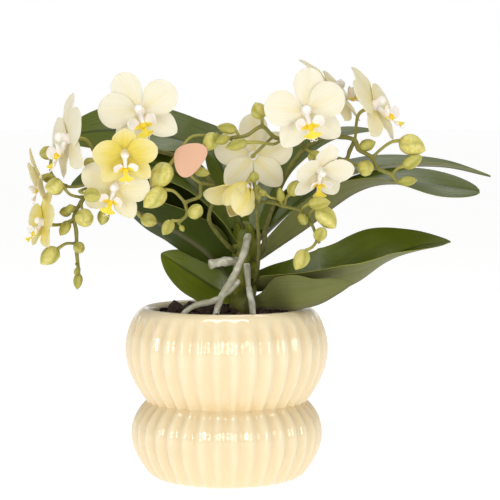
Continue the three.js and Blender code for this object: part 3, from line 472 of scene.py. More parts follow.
class Finish(Nodes):
    """A material; every call works on its Principled shader."""

    def __init__(self, name, **sockets):
        self.material = bpy.data.materials.new(name)
        self.material.use_nodes = True
        super().__init__(self.material.node_tree)
        self.shader = self.tree.nodes["Principled BSDF"]
        for socket, value in sockets.items():
            self.shader.inputs[socket.replace("_", " ")].default_value = value
        self.place = self.node("TexCoord").outputs["Object"]
        split = self.node("SeparateXYZ", {0: self.node("UVMap").outputs[0]})
        self.across, self.along = split.outputs[0], split.outputs[1]
        self.tone = self.node("Attribute", attribute_name="tone").outputs["Fac"]

    def noise(self, size, detail=3, where=None):
        """Smooth noise from 0 to 1, in lumps of a size over the part or over a given vector."""
        scale = 1 / (size if where else size * MM)
        inputs = {"Vector": where or self.place, "Scale": scale, "Detail": detail}
        return self.node("TexNoise", inputs).outputs["Fac"]

    def streaks(self, lines, length=2.0):
        """Noise drawn out along a leaf or petal: lines across it, length of them along it."""
        stretched = {0: self.times(self.across, lines), 1: self.times(self.along, length)}
        return self.noise(1.0, 2, self.node("CombineXYZ", stretched).outputs[0])

    def off_middle(self):
        """0 on the midrib and 1 at both margins."""
        return self.times(self.math("ABSOLUTE", self.math("SUBTRACT", self.across, 0.5)), 2.0)

    def mix(self, share, first, second):
        made = self.node("Mix", {"Factor": share}, data_type="RGBA")
        for socket, value in ((made.inputs[6], first), (made.inputs[7], second)):
            self.put(socket, colour(value) if isinstance(value, str) else value)
        return made.outputs[2]

    def base(self, share, first, second):
        self.put(self.shader.inputs["Base Color"], self.mix(share, first, second))

    def rough(self, low, high, pattern):
        self.put(self.shader.inputs["Roughness"], self.band(pattern, 0.3, 0.7, low, high))

    def grain(self, size, depth, detail=3):
        self.bump(self.noise(size, detail), depth)

    def bump(self, height, depth):
        """Relief of a depth in millimetres, on top of any given before."""
        normal = self.shader.inputs["Normal"]
        inputs = {"Height": height, "Distance": depth * MM}
        if normal.is_linked:
            inputs["Normal"] = normal.links[0].from_socket
        self.put(normal, self.node("Bump", inputs).outputs[0])


def glaze():
    paint = Finish("glaze", IOR=1.4, Coat_Weight=1.0, Coat_Roughness=0.015, Coat_IOR=1.7)
    mottled = paint.band(paint.noise(9, 4), 0.3, 0.7)
    crest = paint.mix(mottled, "#f8e7c0", "#f6e2b8")
    # The tone deepens the colour: glaze pooled in the valleys, and painted shade under the bulges and inside.
    paint.base(paint.times(paint.tone, 0.55), crest, "#ecd09a")
    paint.rough(0.35, 0.45, paint.noise(4))
    paint.grain(2.6, 0.03, 2)
    return paint


def clay():
    paint = Finish("bare_clay", Roughness=0.85)
    paint.base(paint.noise(1.2), "#e9d3ad", "#d8be93")
    paint.grain(0.5, 0.08)
    return paint


def plastic():
    paint = Finish("grow_pot_plastic")
    paint.base(paint.noise(6), "#1c1d19", "#2b2c27")
    paint.rough(0.35, 0.55, paint.noise(3))
    paint.grain(0.8, 0.04)
    return paint


def bark_chips():
    paint = Finish("bark_chips")
    chip = paint.mix(paint.tone, "#24160e", "#7c5740")
    grain = paint.band(paint.noise(1.1, 5), 0.35, 0.65)
    paint.base(grain, chip, paint.mix(paint.tone, "#120b07", "#4a3122"))
    paint.rough(0.6, 0.95, paint.noise(2))
    paint.grain(0.7, 0.5, 5)
    return paint


def pale_bits():
    paint = Finish("pale_bits", Roughness=0.8)
    paint.base(paint.tone, "#e9e4d6", "#8f9068")
    paint.grain(0.6, 0.15)
    return paint


def leaf_upper():
    paint = Finish("leaf_upper", IOR=1.45, Specular_IOR_Level=0.5)
    # Tone mixes dark and fresh green; the dark end is partly painted shade, for leaves in the shadow of
    # others.
    dark = paint.mix(paint.streaks(26, 1.5), "#283405", "#3d4c08")
    fresh = paint.mix(paint.streaks(18, 2), "#5f6f10", "#7f8a16")
    blade_colour = paint.mix(paint.tone, dark, fresh)
    worn = paint.band(paint.noise(14, 4), 0.45, 0.75, 0, 0.25)
    blade_colour = paint.mix(worn, blade_colour, "#5c6a2c")
    # The midrib's groove is painted darker: painted shade in the groove.
    rib = paint.band(paint.off_middle(), 0.02, 0.07, 1, 0)
    paint.base(paint.times(rib, 0.6), blade_colour, "#1c270a")
    paint.rough(0.27, 0.4, paint.streaks(30, 3))
    paint.bump(paint.streaks(44, 1.5), 0.16)
    paint.grain(0.9, 0.03)
    return paint


def leaf_under():
    paint = Finish("leaf_under", IOR=1.4, Specular_IOR_Level=0.25)
    # The dark underside is a shaded copy of the grey-green one: painted shade for undersides in the shadow of
    # other leaves.
    dark = paint.mix(paint.streaks(22, 1.5), "#2c3808", "#3d4a0d")
    grey = paint.mix(paint.streaks(26, 2), "#6a6d3b", "#7d804b")
    blade_colour = paint.mix(paint.tone, dark, grey)
    rib = paint.band(paint.off_middle(), 0.02, 0.09, 1, 0)
    blade_colour = paint.mix(paint.times(rib, 0.6), blade_colour, "#67604a")
    margin = paint.band(paint.off_middle(), 0.93, 0.975)
    paint.base(paint.times(margin, 0.8), blade_colour, "#a7a548")
    paint.rough(0.42, 0.6, paint.streaks(30, 3))
    paint.bump(paint.streaks(40, 1.5), 0.2)
    return paint


def sheath():
    paint = Finish("stem_sheaths", IOR=1.42, Roughness=0.5)
    green = paint.mix(paint.band(paint.noise(5, 4), 0.35, 0.65), "#5d6513", "#7f8020")
    paint.base(paint.times(paint.tone, 0.75), green, "#524a22")
    paint.grain(0.9, 0.12)
    return paint


def root_skin():
    paint = Finish("root_skin")
    skin = paint.mix(paint.band(paint.noise(3.5, 3), 0.3, 0.7), "#b1ae95", "#ccc8b3")
    silver = paint.band(paint.noise(7, 2), 0.5, 0.7)
    skin = paint.mix(silver, skin, "#e4e2d6")
    paint.base(paint.tone, skin, "#6d7a3a")
    paint.rough(0.5, 0.85, paint.noise(1.5))
    paint.grain(0.9, 0.08)
    return paint


def stalk_skin():
    paint = Finish("stalk_skin", IOR=1.42)
    old = paint.mix(paint.band(paint.noise(2.5, 3), 0.35, 0.65), "#3c3e16", "#565a22")
    young = paint.mix(paint.noise(2), "#a29b40", "#bdb45a")
    paint.base(paint.tone, old, young)
    paint.rough(0.4, 0.6, paint.noise(1.2))
    paint.grain(0.6, 0.08)
    return paint


def bud_skin():
    paint = Finish("bud_skin", IOR=1.42, Subsurface_Weight=0.15, Subsurface_Scale=0.002)
    young = paint.mix(paint.noise(1.5), "#949136", "#aca74b")
    ripe = paint.mix(paint.band(paint.noise(2.2), 0.35, 0.65), "#cfc45c", "#dfd685")
    skin = paint.mix(paint.tone, young, ripe)
    pale = paint.band(paint.streaks(7, 0.8), 0.5, 0.8, 0, 0.3)
    skin = paint.mix(pale, skin, "#ece6b4")
    foot = paint.band(paint.along, 0.0, 0.3, 0.5, 0)
    paint.base(foot, skin, "#a39f40")
    paint.rough(0.38, 0.55, paint.noise(1))
    paint.grain(0.5, 0.05)
    return paint


def petal():
    paint = Finish("petal", IOR=1.38, Subsurface_Weight=0.3, Subsurface_Scale=0.0015,
                   Subsurface_Radius=(1.0, 0.9, 0.5), Sheen_Weight=0.08)
    veins = paint.band(paint.streaks(30, 1.2), 0.3, 0.75)
    cream = paint.mix(veins, "#eee8d7", "#eae3cb")
    yellow = paint.mix(veins, "#e3d05c", "#dac650")
    paint.base(paint.tone, cream, yellow)
    paint.rough(0.5, 0.65, paint.noise(0.8))
    paint.bump(paint.streaks(40, 1.2), 0.1)
    paint.grain(0.35, 0.03, 2)
    return paint


def lip_skin():
    paint = Finish("lip_skin", IOR=1.4, Subsurface_Weight=0.2, Subsurface_Scale=0.001, Roughness=0.42)
    pale = paint.mix(paint.band(paint.tone, 0.2, 0.5), "#f6f0ea", "#f7e04a")
    deep = paint.mix(paint.band(paint.tone, 0.65, 1.0), pale, "#f4cf12")
    spots = paint.band(paint.noise(0.5, 2), 0.62, 0.68)
    spotted = paint.times(spots, paint.band(paint.tone, 0.6, 0.9, 0.0, 0.35))
    paint.base(spotted, deep, "#e0a00e")
    paint.grain(0.4, 0.05)
    return paint


def card():
    paint = Finish("card")
    paint.base(paint.noise(0.5, 4), "#dfb192", "#daa989")
    paint.rough(0.6, 0.75, paint.noise(0.3))
    paint.grain(0.25, 0.02)
    return paint


# ---------------- pot, grow pot and bark

def ribbed(outline):
    """The rings of an outline, and how deep in a valley each point is, as a share."""
    angles = full_turn(POT_RIBS * POINTS_PER_RIB)
    # A valley, not a crest, faces the front.
    within = np.abs(angles * POT_RIBS / (2 * math.pi) % 1 - 0.5) * 2
    valley = 0.5 - 0.5 * np.cos(math.pi * within)
    radius, height, share = outline.T[..., None]
    depth = np.clip(share, 0, 1) * valley
    return level_rings(radius - POT_RIB_DEPTH * depth, height, angles), depth


def ceramic_pot():
    foot = np.array(POT_FOOT, float)
    outside = np.vstack([smooth_path(POT_LOWER, 44)[1:], smooth_path(POT_UPPER, 62)[1:]])
    inside = smooth_path(POT_INSIDE, 26)[1:]
    rings, valley = ribbed(np.vstack([foot, outside, inside]))
    # The glaze is a little deeper in colour in the valleys, where it pools. Under both bulges and
    # down the inside, the deeper colour is painted shade.
    under = np.interp(rings[..., 2], (0, 20, 38, 50, 74), (0.8, 0.15, 0, 0.8, 0))
    under[-len(inside) + LIP_ROWS:] = 1.0
    body = loft(rings, np.clip(valley + under, 0, 1))
    sides = POT_RIBS * POINTS_PER_RIB
    paint = np.zeros(len(body.faces), int)
    paint[:(len(foot) - 1) * sides] = 1
    paint[-2 * sides:-sides] = 1
    piece("pot", "glazed", [body._replace(paint=paint)], [glaze(), clay()])


def grow_pot():
    node = frame["nodes"]["grow_pot"]
    node.data.materials.clear()
    node.data.materials.append(plastic().material)


def bark_chip(place, size, draw):
    """A broken chip: a short bar of uneven sections, roughened."""
    rows, sides = 6, 8
    s = np.linspace(-1, 1, rows)
    sideways, upwards = 0.15 * size * draw.normal(size=rows), 0.1 * size * draw.normal(size=rows)
    path = np.column_stack([s * size, sideways, upwards])
    girth = size * (0.35 + 0.3 * np.sqrt(1 - 0.8 * s**2)) * draw.uniform(0.75, 1.15, rows)
    chip = sweep(path, girth, sides, draw.uniform(0, 1))
    turn = Matrix.Rotation(draw.uniform(0, 6.28), 3, "Z") @ Matrix.Rotation(draw.normal() * 0.35, 3, "Y")
    turn = turn @ Matrix.Rotation(draw.uniform(0, 6.28), 3, "X")
    points = (chip.points * (1, 1, draw.uniform(0.45, 0.8))) @ np.array(turn).T + place
    return roughen(chip._replace(points=points), 0.22 * size, 0.6 * size, draw.uniform(0, 50))


def spot(angle, reach, height):
    """A point at an angle round the pot's axis."""
    return np.array([reach * math.cos(angle), reach * math.sin(angle), height])


def bark():
    draw = np.random.default_rng(5)
    heap = np.array([
        (BARK_RADIUS - 9, 20), (BARK_RADIUS - 3, 60), (BARK_RADIUS, 88), (BARK_RADIUS - 1, BARK_TOP - 4),
        (BARK_RADIUS - 8, BARK_TOP - 2), (20, BARK_TOP - 1.5), (6, BARK_TOP - 1.5),
    ])
    rings = level_rings(heap[:, :1], heap[:, 1:], full_turn(72))
    parts = [roughen(loft(rings, 0.1), 1.6, 4, 1)]
    for n in range(CHIPS):
        angle, reach = n * GOLDEN_ANGLE, (BARK_RADIUS - 2.5) * math.sqrt((n + 0.5) / CHIPS)
        size = draw.uniform(1.8, 5.6)
        height = BARK_TOP + draw.uniform(-1.5, 2.4) + 2 * reach / BARK_RADIUS * max(0, math.sin(angle))
        parts.append(bark_chip(spot(angle, reach, height), size, draw))
    for x, y, z, size in LARGE_CHIPS:
        parts.append(bark_chip((x, y, z), size, draw)._replace(tone=0.25))
    for _ in range(PALE_BITS):
        place = spot(draw.uniform(0, 6.28), draw.uniform(8, BARK_RADIUS - 5), BARK_TOP + 2)
        parts.append(bark_chip(place, draw.uniform(0.7, 1.2), draw)._replace(tone=0.0, paint=1))
    for _ in range(STRANDS):
        start = spot(draw.uniform(0, 6.28), draw.uniform(4, BARK_RADIUS - 7), BARK_TOP + 1.2)
        heading = draw.uniform(0, 6.28)
        steps = np.linspace(0, 1, 5)[:, None] * draw.uniform(5, 10)
        strand = start + steps * (math.cos(heading), math.sin(heading), 0)
        strand += draw.normal(size=(5, 3)) * (0.8, 0.8, 0.9)
        parts.append(sweep(smooth_path(strand, 14), 0.35, 5, 1.0, 1))
    piece("bark", "heap", parts, [bark_chips(), pale_bits()], crease=35)


# ---------------- stem, leaves and roots

def plant_stem():
    outline = smooth_path(STEM_OUTLINE, 60)
    heights, radii = outline[:, :1], outline[:, 1:]
    angles = full_turn(32)
    # Each sheath wraps the stem a little off its middle, so its edge shows as a low step.
    step = 0.35 * np.sin(3 * angles + 0.16 * heights)
    rings = level_rings(radii + step, heights, angles, (STEM_X, STEM_Y))
    tone = np.clip((112 - heights[:, 0]) / 16, 0, 1)
    piece("stem", "sheathed", [roughen(loft(rings, tone), 0.5, 5, 3)], [sheath()])


def leaf_outline(along, base, sharpness):
    """A leaf's width along it, as a share of its full width."""
    ease = np.clip(along / 0.4, 0, 1)
    rise = base + (1 - base) * ease**2 * (3 - 2 * ease)
    narrowing = np.clip((along - 0.9 + 0.6 * sharpness) / (0.102 + 0.6 * sharpness), 0, 1)
    return rise * (1 - narrowing**2.2) ** sharpness


def leaf(name):
    width, base, sharpness, tones, path = LEAVES[name]
    rows, columns = 84, 29
    middle = smooth_path(path, rows)
    heading = unit(np.gradient(middle[:, :3], axis=0))
    level = unit(np.cross((0, 0, 1), heading))
    level *= np.where(level[:, 1:2] < 0, -1, 1)
    raised = np.cross(heading, level)
    raised *= np.where(raised[:, 2:] < 0, -1, 1)
    lean, fold = np.radians(middle[:, 3, None]), np.radians(middle[:, 4, None])
    side = level * np.cos(lean) + raised * np.sin(lean)
    face = raised * np.cos(lean) - level * np.sin(lean)
    along = np.linspace(0, 1, rows)[:, None]
    across = np.sin(np.linspace(-math.pi / 2, math.pi / 2, columns))
    halfway = rows // 2
    if np.dot(np.cross(heading[halfway], side[halfway]), face[halfway]) < 0:
        across = across[::-1]
    half = 0.5 * width * leaf_outline(along, base, sharpness)
    groove = np.exp(-((across * half / 1.3) ** 2))
    phase = sum(map(ord, "leaf_" + name))
    wave = 0.6 * np.sin(7 * along + phase) * np.abs(across) ** 2
    wave = wave + 0.35 * np.sin(17 * along + 2 * phase) * across**3
    rise = half * np.abs(across) ** 1.25 * np.sin(fold) + wave * np.sin(math.pi * along) - 0.45 * groove
    grid = middle[:, None, :3] + side[:, None] * (half * np.cos(fold) * across)[..., None]
    grid = grid + face[:, None] * rise[..., None]
    thickness = (0.7 + 0.8 * (1 - across**2) + 0.8 * groove) * (1 - 0.6 * np.abs(across) ** 12)
    thickness = thickness * (1 - 0.5 * along**6)
    return blade(grid, thickness, tones, (0, 1))


def leaves():
    finishes = [leaf_upper(), leaf_under()]
    for name in LEAVES:
        piece("leaf_" + name, "blade", [leaf(name)], finishes)


def roots():
    skin = root_skin()
    for name, tubes in ROOTS.items():
        parts = []
        for n, (radius, path) in enumerate(tubes):
            route = smooth_path(path, 60)
            s = np.linspace(0, 1, len(route))
            swell = 1 + 0.08 * np.sin(15 * s + n) + 0.03 * np.sin(37 * s + 2 * n)
            tone = 0.1 * np.sin(9 * s) ** 2
            if name == "stub":
                # Its round green end shows.
                swell = swell * np.sqrt(np.clip((1 - s) * 22, 0.02, 1))
                tone = np.clip((s - 0.93) * 12, 0, 0.8)
            parts.append(roughen(sweep(route, radius * swell, 16, tone), 0.3, 3.6, n))
        piece("root_" + name, "skin", parts, [skin])


# ---------------- flowers

# How far from the flower's middle its tepals start.
TEPAL_START = 1.7
# out is how far a tepal sits in front of the petals. slopes are its angles to the flower's plane at
# the foot and the tip. outline is (share of the length, share of the half width).
Kind = namedtuple("Kind", "length width out slopes cup crease outline")
KINDS = {
    "dorsal": Kind(25, 17, -1.1, (6, -14), 0.3, 0.3, [
        (0, 0.22), (0.15, 0.52), (0.35, 0.86), (0.55, 1), (0.74, 0.93), (0.89, 0.66), (0.97, 0.34), (1, 0.03),
    ]),
    "petal": Kind(24, 20, 0, (12, -8), -0.15, 0.15, [
        (0, 0.2), (0.12, 0.44), (0.28, 0.81), (0.47, 1), (0.67, 0.98), (0.84, 0.76), (0.95, 0.43), (1, 0.03),
    ]),
    "lateral": Kind(24, 15.5, -1.1, (6, -14), 0.3, 0.3, [
        (0, 0.24), (0.15, 0.58), (0.33, 0.92), (0.5, 1), (0.7, 0.87), (0.86, 0.57), (0.96, 0.28), (1, 0.03),
    ]),
}
# (kind, angle round the flower)
TEPALS = [("dorsal", 90), ("petal", 17), ("petal", 163), ("lateral", -47), ("lateral", -133)]
# How much more a shut flower's tepals rise at the foot and the tip.
SHUT_SLOPES = (62, 100)
# Below this spread a flower is half open: its tepals curl over its middle and hide the lip, and
# only one has let go.
HALF_OPEN, HALF_OPEN_SLOPES = 0.5, (28, 128)
LOOSE_TEPAL, LOOSE_SLOPES = 2, (28, 30)

SIDE_LOBE_OUTLINE = [(0, 0.45), (0.25, 0.65), (0.5, 0.95), (0.72, 1), (0.9, 0.72), (1, 0.12)]
# (share of the length, half width)
MIDDLE_LOBE_OUTLINE = [
    (0, 1.5), (0.35, 1.4), (0.55, 2.4), (0.7, 4.4), (0.8, 5.4), (0.88, 4.2), (0.95, 1.6), (1, 0.4),
]


def width_at(outline, s):
    curve = smooth_path(outline, 80)
    return np.interp(s, curve[:, 0], curve[:, 1])


def lobe(start, angle, length, half_width, outline, slopes, cup, rows=24, columns=15, crease=0.0, ripple=0.0):
    """A grid for a tepal or lobe in the flower's own frame, which leaves the middle at an angle."""
    along = np.array([math.cos(angle), math.sin(angle), 0])
    sideways = np.array([-math.sin(angle), math.cos(angle), 0])
    out = np.array([0, 0, 1.0])
    s = 0.5 - 0.5 * np.cos(np.linspace(0, math.pi, rows))[:, None]
    t = np.sin(np.linspace(-math.pi / 2, math.pi / 2, columns))
    first, last = np.radians(slopes)
    bend = last - first if abs(last - first) > 1e-3 else 1e-3
    slope = first + bend * s
    reach = length * (np.sin(slope) - math.sin(first)) / bend
    rise = length * (math.cos(first) - np.cos(slope)) / bend
    half = half_width * width_at(outline, s)
    wave = ripple * np.abs(t) ** 3 * np.sin(13 * s + 5 * angle + 1.5 * np.sign(t)) * np.sin(math.pi * s)
    dome = cup * 0.3 * t**2 * half - crease * np.exp(-((t * half / 0.9) ** 2)) + wave
    # The dome rises square to the lobe, so a lobe that curls over cups inwards.
    tilt = np.radians(np.clip(np.degrees(slope), -20, 110))
    grid = np.array(start, float) + along * (reach - dome * np.sin(tilt))[..., None]
    grid = grid + sideways * (half * t)[..., None] + out * (rise + dome * np.cos(tilt))[..., None]
    return grid, s, t, half


def tepals(bloom):
    shut = 1 - bloom.spread
    parts = []
    for n, (kind_name, degrees) in enumerate(TEPALS):
        kind = KINDS[kind_name]
        lean, hood = (bloom.dorsal_lean, bloom.hood) if kind_name == "dorsal" else (0, 0)
        angle = math.radians(degrees + lean)
        foot, tip = [flat + shut * more for flat, more in zip(kind.slopes, SHUT_SLOPES)]
        if bloom.spread < HALF_OPEN:
            foot, tip = LOOSE_SLOPES if n == LOOSE_TEPAL else HALF_OPEN_SLOPES
        start = (TEPAL_START * math.cos(angle), TEPAL_START * math.sin(angle), kind.out * (1 + 2 * shut))
        grid, s, t, half = lobe(start, angle, kind.length - TEPAL_START, 0.5 * kind.width * (1 - 0.25 * shut),
                                kind.outline, (foot, tip + hood), kind.cup + 1.8 * shut,
                                crease=kind.crease, ripple=0.35)
        thickness = (0.75 - 0.35 * t**4) * (1 - 0.4 * s**4)
        midline = np.exp(-((t * half / 1.6) ** 2))
        tint = bloom.yellow * (1.2 - 0.65 * s)
        front = np.clip(tint + 0.3 * midline * (1 - s) + 0.12 * (1 - s) ** 2, 0, 1)
        back = np.clip(tint + 0.4 * midline * (1 - 0.6 * s) + 0.05, 0, 1)
        parts.append(blade(grid, thickness, (front, back)))
    return parts


def column():
    """The white nub in the middle, with a rounded cap on its end."""
    path = smooth_path([(0, 0, -2.2), (0, 0.2, 0.4), (0, 0.7, 3.4), (0, 0.4, 5.6), (0, -0.2, 7.2)], 26)
    places = (0, 0.2, 0.45, 0.62, 0.7, 0.85, 0.95, 1)
    radii = np.interp(np.linspace(0, 1, 26), places, (2.4, 3.1, 2.3, 2.3, 2.6, 2.5, 1.6, 0.3))
    return sweep(path, radii, 20, 0.0, 1)


def lip():
    """Below the column: a claw, a callus, two upright side lobes and an anchor-shaped middle lobe."""
    joint = np.array([0, -8.6, 4.2])
    claw = sweep(smooth_path([(0, -2.2, 2.0), (0, -4.8, 3.0), joint], 10), np.linspace(1.6, 1.3, 10), 12, 0.0)
    callus_path = smooth_path([joint + (0, 0.6, 1.2), joint + (0, -0.8, 2.0), joint + (0, -2.6, 1.2)], 12)
    callus = sweep(callus_path, 1.7 * np.sqrt(np.sin(np.linspace(0.06, math.pi - 0.06, 12))), 14, 0.9)
    parts = [claw, callus]
    for hand in (-1, 1):
        grid, s, t, _ = lobe(joint + (1.1 * hand, -0.7, -0.2), math.radians(90 - 62 * hand), 9.5, 3.3,
                             SIDE_LOBE_OUTLINE, (8, 62), 1.3, 18, 11)
        lower = np.clip((-t * hand + 0.2) / 0.9, 0, 1)
        tone = np.clip(1.0 - 3.2 * s + 1.1 * lower * (1 - 0.6 * s), 0, 0.8)
        parts.append(blade(grid, 0.8 - 0.4 * t**4, (tone, tone)))
    grid, s, t, _ = lobe(joint + (0, -1.2, 0.1), -math.pi / 2, 8.4, 1, MIDDLE_LOBE_OUTLINE, (40, 20), 1.6,
                         28, 15, crease=-0.4)
    tone = np.clip(0.62 + 0.25 * np.exp(-((t / 0.4) ** 2)) * (1 - s), 0, 1)
    parts.append(blade(grid, 1.0 - 0.5 * t**4 - 0.3 * s, (tone, 0.25 * tone)))
    tip = grid[-1, grid.shape[1] // 2]
    for hand in (-1, 1):
        tendril = [(0, 0.4, 0), (0.9 * hand, -0.9, 0.6), (1.9 * hand, -0.7, 1.6), (1.9 * hand, 0.3, 2.2)]
        parts.append(sweep(smooth_path(tip + np.array(tendril), 16), np.linspace(0.36, 0.1, 16), 8, 0.1))
    return parts


def flower_axes(bloom):
    """Rows: right and up as seen from in front of the flower, and out, the way it faces."""
    out = towards(*bloom.facing)
    level = unit(np.array([0, 0, 1.0]) - out[2] * out)
    roll = math.radians(bloom.roll)
    up = level * math.cos(roll) + np.cross(out, level) * math.sin(roll)
    return np.array([np.cross(up, out), up, out])


def placed(bloom, parts):
    """Parts from the flower's own frame, at its place on the plant."""
    axes = flower_axes(bloom)
    return [part._replace(points=bloom.at + bloom.size * part.points @ axes) for part in parts]


def flowers():
    finishes = [petal(), lip_skin()]
    for letter, bloom in BLOOMS.items():
        piece("bloom_" + letter, "tepals", placed(bloom, [*tepals(bloom), column()]), finishes)
        if bloom.spread >= HALF_OPEN:
            piece("lip_" + letter, "lobes", placed(bloom, lip()), finishes[1:])


# ---------------- spikes

# (share of the length, share of the half width)
BUD_OUTLINE = [
    (0, 0.22), (0.08, 0.6), (0.22, 0.9), (0.42, 1.0), (0.62, 0.92), (0.8, 0.65), (0.92, 0.32), (1, 0.03),
]


def bud(foot, tip, width):
    """Egg-shaped, with three seams where its sepals meet. A large one has begun to twist open."""
    foot, tip = np.array(foot, float), np.array(tip, float)
    axis = unit(tip - foot)
    first = unit(np.cross((1, 0, 0) if abs(axis[2]) > 0.9 else (0, 0, 1), axis))
    second = np.cross(axis, first)
    outline = smooth_path(BUD_OUTLINE, 26)
    share, girth = outline[:, :1], outline[:, 1:]
    ripeness = np.clip((width - 4.5) / 7.5, 0, 1)
    angles = full_turn(36)
    turned = angles + width + (0.5 + 1.2 * ripeness) * share
    third = 2 * math.pi / 3
    from_seam = np.abs(turned % third - third / 2)
    # One sepal laps over the next: its edge stands out and the next one starts low.
    fade = np.sin(math.pi * share**0.7)
    seam = np.exp(-((from_seam / 0.2) ** 2)) * fade
    lap = 0.05 * (turned % third) / third * fade
    reach = 0.5 * width * girth * (1 - 0.09 * seam + lap)
    bend = 0.05 * width * np.sin(math.pi * share) * first
    rings = (foot + np.linalg.norm(tip - foot) * share * axis + bend)[:, None]
    rings = rings + (reach * np.cos(angles))[..., None] * first + (reach * np.sin(angles))[..., None] * second
    # The tone drops along the seams and rises towards each sepal's middle: painted shade in the creases where
    # the sepals meet.
    tone = np.clip(ripeness - 0.5 * seam + 0.15 * np.cos(3 * turned), 0, 1)
    return loft(rings, tone, 1)


def bract(foot, along, size):
    """A small scale that clasps a stalk's foot."""
    path = smooth_path([foot - 0.4 * along * size, foot + 0.5 * along * size, foot + along * size * 1.3], 8)
    return sweep(path, size * np.array([0.42, 0.5, 0.52, 0.48, 0.4, 0.3, 0.17, 0.04]), 10, 0.45)


def flower_stalk(bloom):
    """Ends behind its flower, along the way that the flower faces."""
    out = flower_axes(bloom)[2]
    end = np.array(bloom.at) - bloom.size * 1.6 * out
    before = np.array(bloom.stalk[-1], float)
    approach = end - 0.4 * np.linalg.norm(end - before) * out
    path = smooth_path([*bloom.stalk, approach, end], 40)
    s = np.linspace(0, 1, 40)
    return sweep(path, 0.85 + 0.55 * s**3, 12, 0.35 + 0.6 * s)


def stem_tube(points, radius, thin, tones):
    """A stem that loses the share thin of its radius on the way and swells at each joint."""
    count = 8 * len(points)
    path = smooth_path(points, count)
    s = np.linspace(0, 1, count)
    nearest = np.min([np.linalg.norm(path - np.array(p), axis=1) for p in points[1:-1]], axis=0)
    swell = 1 + 0.16 * np.exp(-((nearest / (1.3 * radius)) ** 2))
    return sweep(path, radius * (1 - thin * s) * swell, 14, np.interp(s, [0, 1], tones))


def spikes():
    finishes = [stalk_skin(), bud_skin()]
    for name, spike in SPIKES.items():
        parts = [stem_tube(spike.path, spike.radius, 0.3, (0.05, 0.5))]
        parts += [stem_tube(branch, 0.8 * spike.radius, 0.25, (0.15, 0.55)) for branch in spike.branches]
        for width, tip, stalk in spike.buds:
            points = smooth_path(stalk, 24)
            s = np.linspace(0, 1, len(points))
            stalk_radius = min(0.85, 0.16 * width) * (1 + 0.35 * s**4)
            parts.append(sweep(points, stalk_radius, 10, 0.4 + 0.5 * s))
            parts.append(bract(points[0], unit(points[3] - points[0]), 1.6 + 0.1 * width))
            parts.append(bud(points[-1] - 0.3 * unit(np.array(tip) - points[-1]), tip, width))
        parts += [flower_stalk(bloom) for bloom in BLOOMS.values() if bloom.on == name]
        piece("spike_" + name, "stems", parts, finishes)


# ---------------- tag

TAG_AT, TAG_WIDTH, TAG_HEIGHT, TAG_THICKNESS = (-20, -49.6, 192), 19, 20, 0.7
# Its rounded triangle as curves of four control points, as shares of the width and the height.
TAG_CURVES = [
    ((-0.5, 0.1), (-0.5, 0.46), (0.05, 0.5), (0.22, 0.48)),
    ((0.22, 0.48), (0.5, 0.45), (0.6, 0.22), (0.42, 0)),
    ((0.42, 0), (0.3, -0.2), (0.05, -0.5), (-0.15, -0.5)),
    ((-0.15, -0.5), (-0.4, -0.5), (-0.5, -0.2), (-0.5, 0.1)),
]
# The rounded edge at either face: (share of the outline, depth)
TAG_EDGE = [(0.55, 0), (0.97, 0), (0.995, 0.1), (1, 0.25)]


def tag():
    s = np.linspace(0, 1, 18, endpoint=False)[:, None]
    weights = ((1 - s) ** 3, 3 * s * (1 - s) ** 2, 3 * s**2 * (1 - s), s**3)
    curves = [sum(weight * np.array(point) for weight, point in zip(weights, curve)) for curve in TAG_CURVES]
    outline = np.vstack(curves) * (TAG_WIDTH, TAG_HEIGHT)
    layers = TAG_EDGE + [(share, TAG_THICKNESS - depth) for share, depth in reversed(TAG_EDGE)]
    rings = np.array([[(share * x, -depth, share * z) for x, z in outline] for share, depth in layers])
    piece("tag", "card", [loft(rings + TAG_AT)], [card()])


# ---------------- studio and camera

# The photo's own view. Its focal length is in pixels, of a picture that is this many wide.
CAMERA_AT, CAMERA_AIM, FOCAL_PIXELS = (14, -1150, 215), (14, 0, 137), 1921
IMAGE_PIXELS, SENSOR = 500, 36

# The rest is in metres. The lights look at this point.
LIT_POINT = Vector((0, 0, 0.12))
# (name, azimuth, elevation, distance, width, height, watts); azimuth 0 is the camera's side
LIGHTS = [
    ("key", -35, 45, 1.4, 1.1, 1.1, 1.0),
    ("top", 0, 70, 1.0, 0.6, 0.3, 3.1),
    ("rim", 165, 55, 1.3, 0.9, 0.5, 3),
    *[("strip", azimuth, 8.5, 1.0, 0.04, 0.32, 0.75) for azimuth in (-46, -32, -20, 20, 32, 46)],
]
# Half the floor's width, and how far it lies under the pot's foot.
FLOOR_REACH, FLOOR_DROP = 40, 0.0002
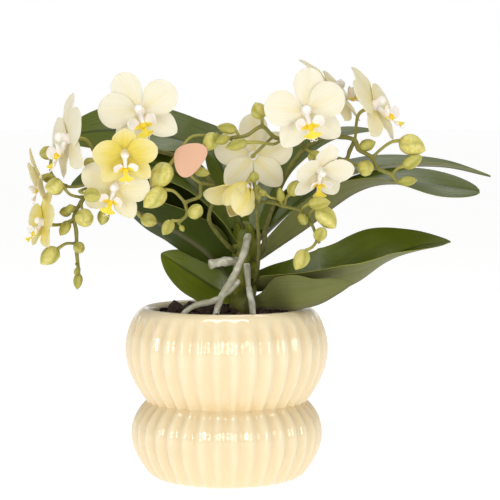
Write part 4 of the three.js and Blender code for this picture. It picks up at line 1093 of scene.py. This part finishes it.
# White all round the horizon, and dimmer overhead and on the camera's side, by the product of two
# ramps: (axis of the view, from, to, brightness at each).
BACKDROP_RAMPS = [(2, 0.08, 0.26, 1.0, 0.34), (1, -0.7, 0.1, 0.42, 1.0)]


def backdrop():
    bpy.context.scene.view_settings.view_transform = "Standard"
    world = bpy.data.worlds.new("studio")
    world.use_nodes = True
    nodes = Nodes(world.node_tree)
    direction = nodes.node("SeparateXYZ", {0: nodes.node("TexCoord").outputs["Generated"]})
    shares = [nodes.band(direction.outputs[axis], *ramp) for axis, *ramp in BACKDROP_RAMPS]
    background = nodes.tree.nodes["Background"].inputs
    nodes.put(background["Strength"], nodes.times(*shares))
    nodes.put(background["Color"], (1, 1, 1, 1))
    bpy.context.scene.world = world


def studio_floor():
    mesh = bpy.data.meshes.new("floor")
    corners = [(-1, -1), (1, -1), (1, 1), (-1, 1)]
    mesh.from_pydata([(FLOOR_REACH * x, FLOOR_REACH * y, 0) for x, y in corners], [], [(0, 1, 2, 3)])
    floor = add("floor", mesh, (0, 0, -FLOOR_DROP))
    paint = Finish("floor", Roughness=0.9, Specular_IOR_Level=0.1, Emission_Strength=0.86,
                   Emission_Color=(1, 1, 1, 1))
    paint.base(paint.noise(300), "#a3a2a0", "#9f9e9c")
    mesh.materials.append(paint.material)


def lights():
    for name, azimuth, elevation, distance, width, height, watts in LIGHTS:
        data = bpy.data.lights.new(name, "AREA")
        data.shape, data.size, data.size_y, data.energy = "RECTANGLE", width, height, watts
        add(name, data, LIT_POINT + distance * Vector(towards(azimuth, elevation)), LIT_POINT)


def camera():
    data = bpy.data.cameras.new("camera")
    data.sensor_width, data.lens = SENSOR, FOCAL_PIXELS / IMAGE_PIXELS * SENSOR
    bpy.context.scene.camera = add("camera", data, Vector(CAMERA_AT) * MM, Vector(CAMERA_AIM) * MM)


# ---------------- the whole

camera()
backdrop()
studio_floor()
lights()
ceramic_pot()
grow_pot()
bark()
plant_stem()
leaves()
roots()
flowers()
spikes()
tag()
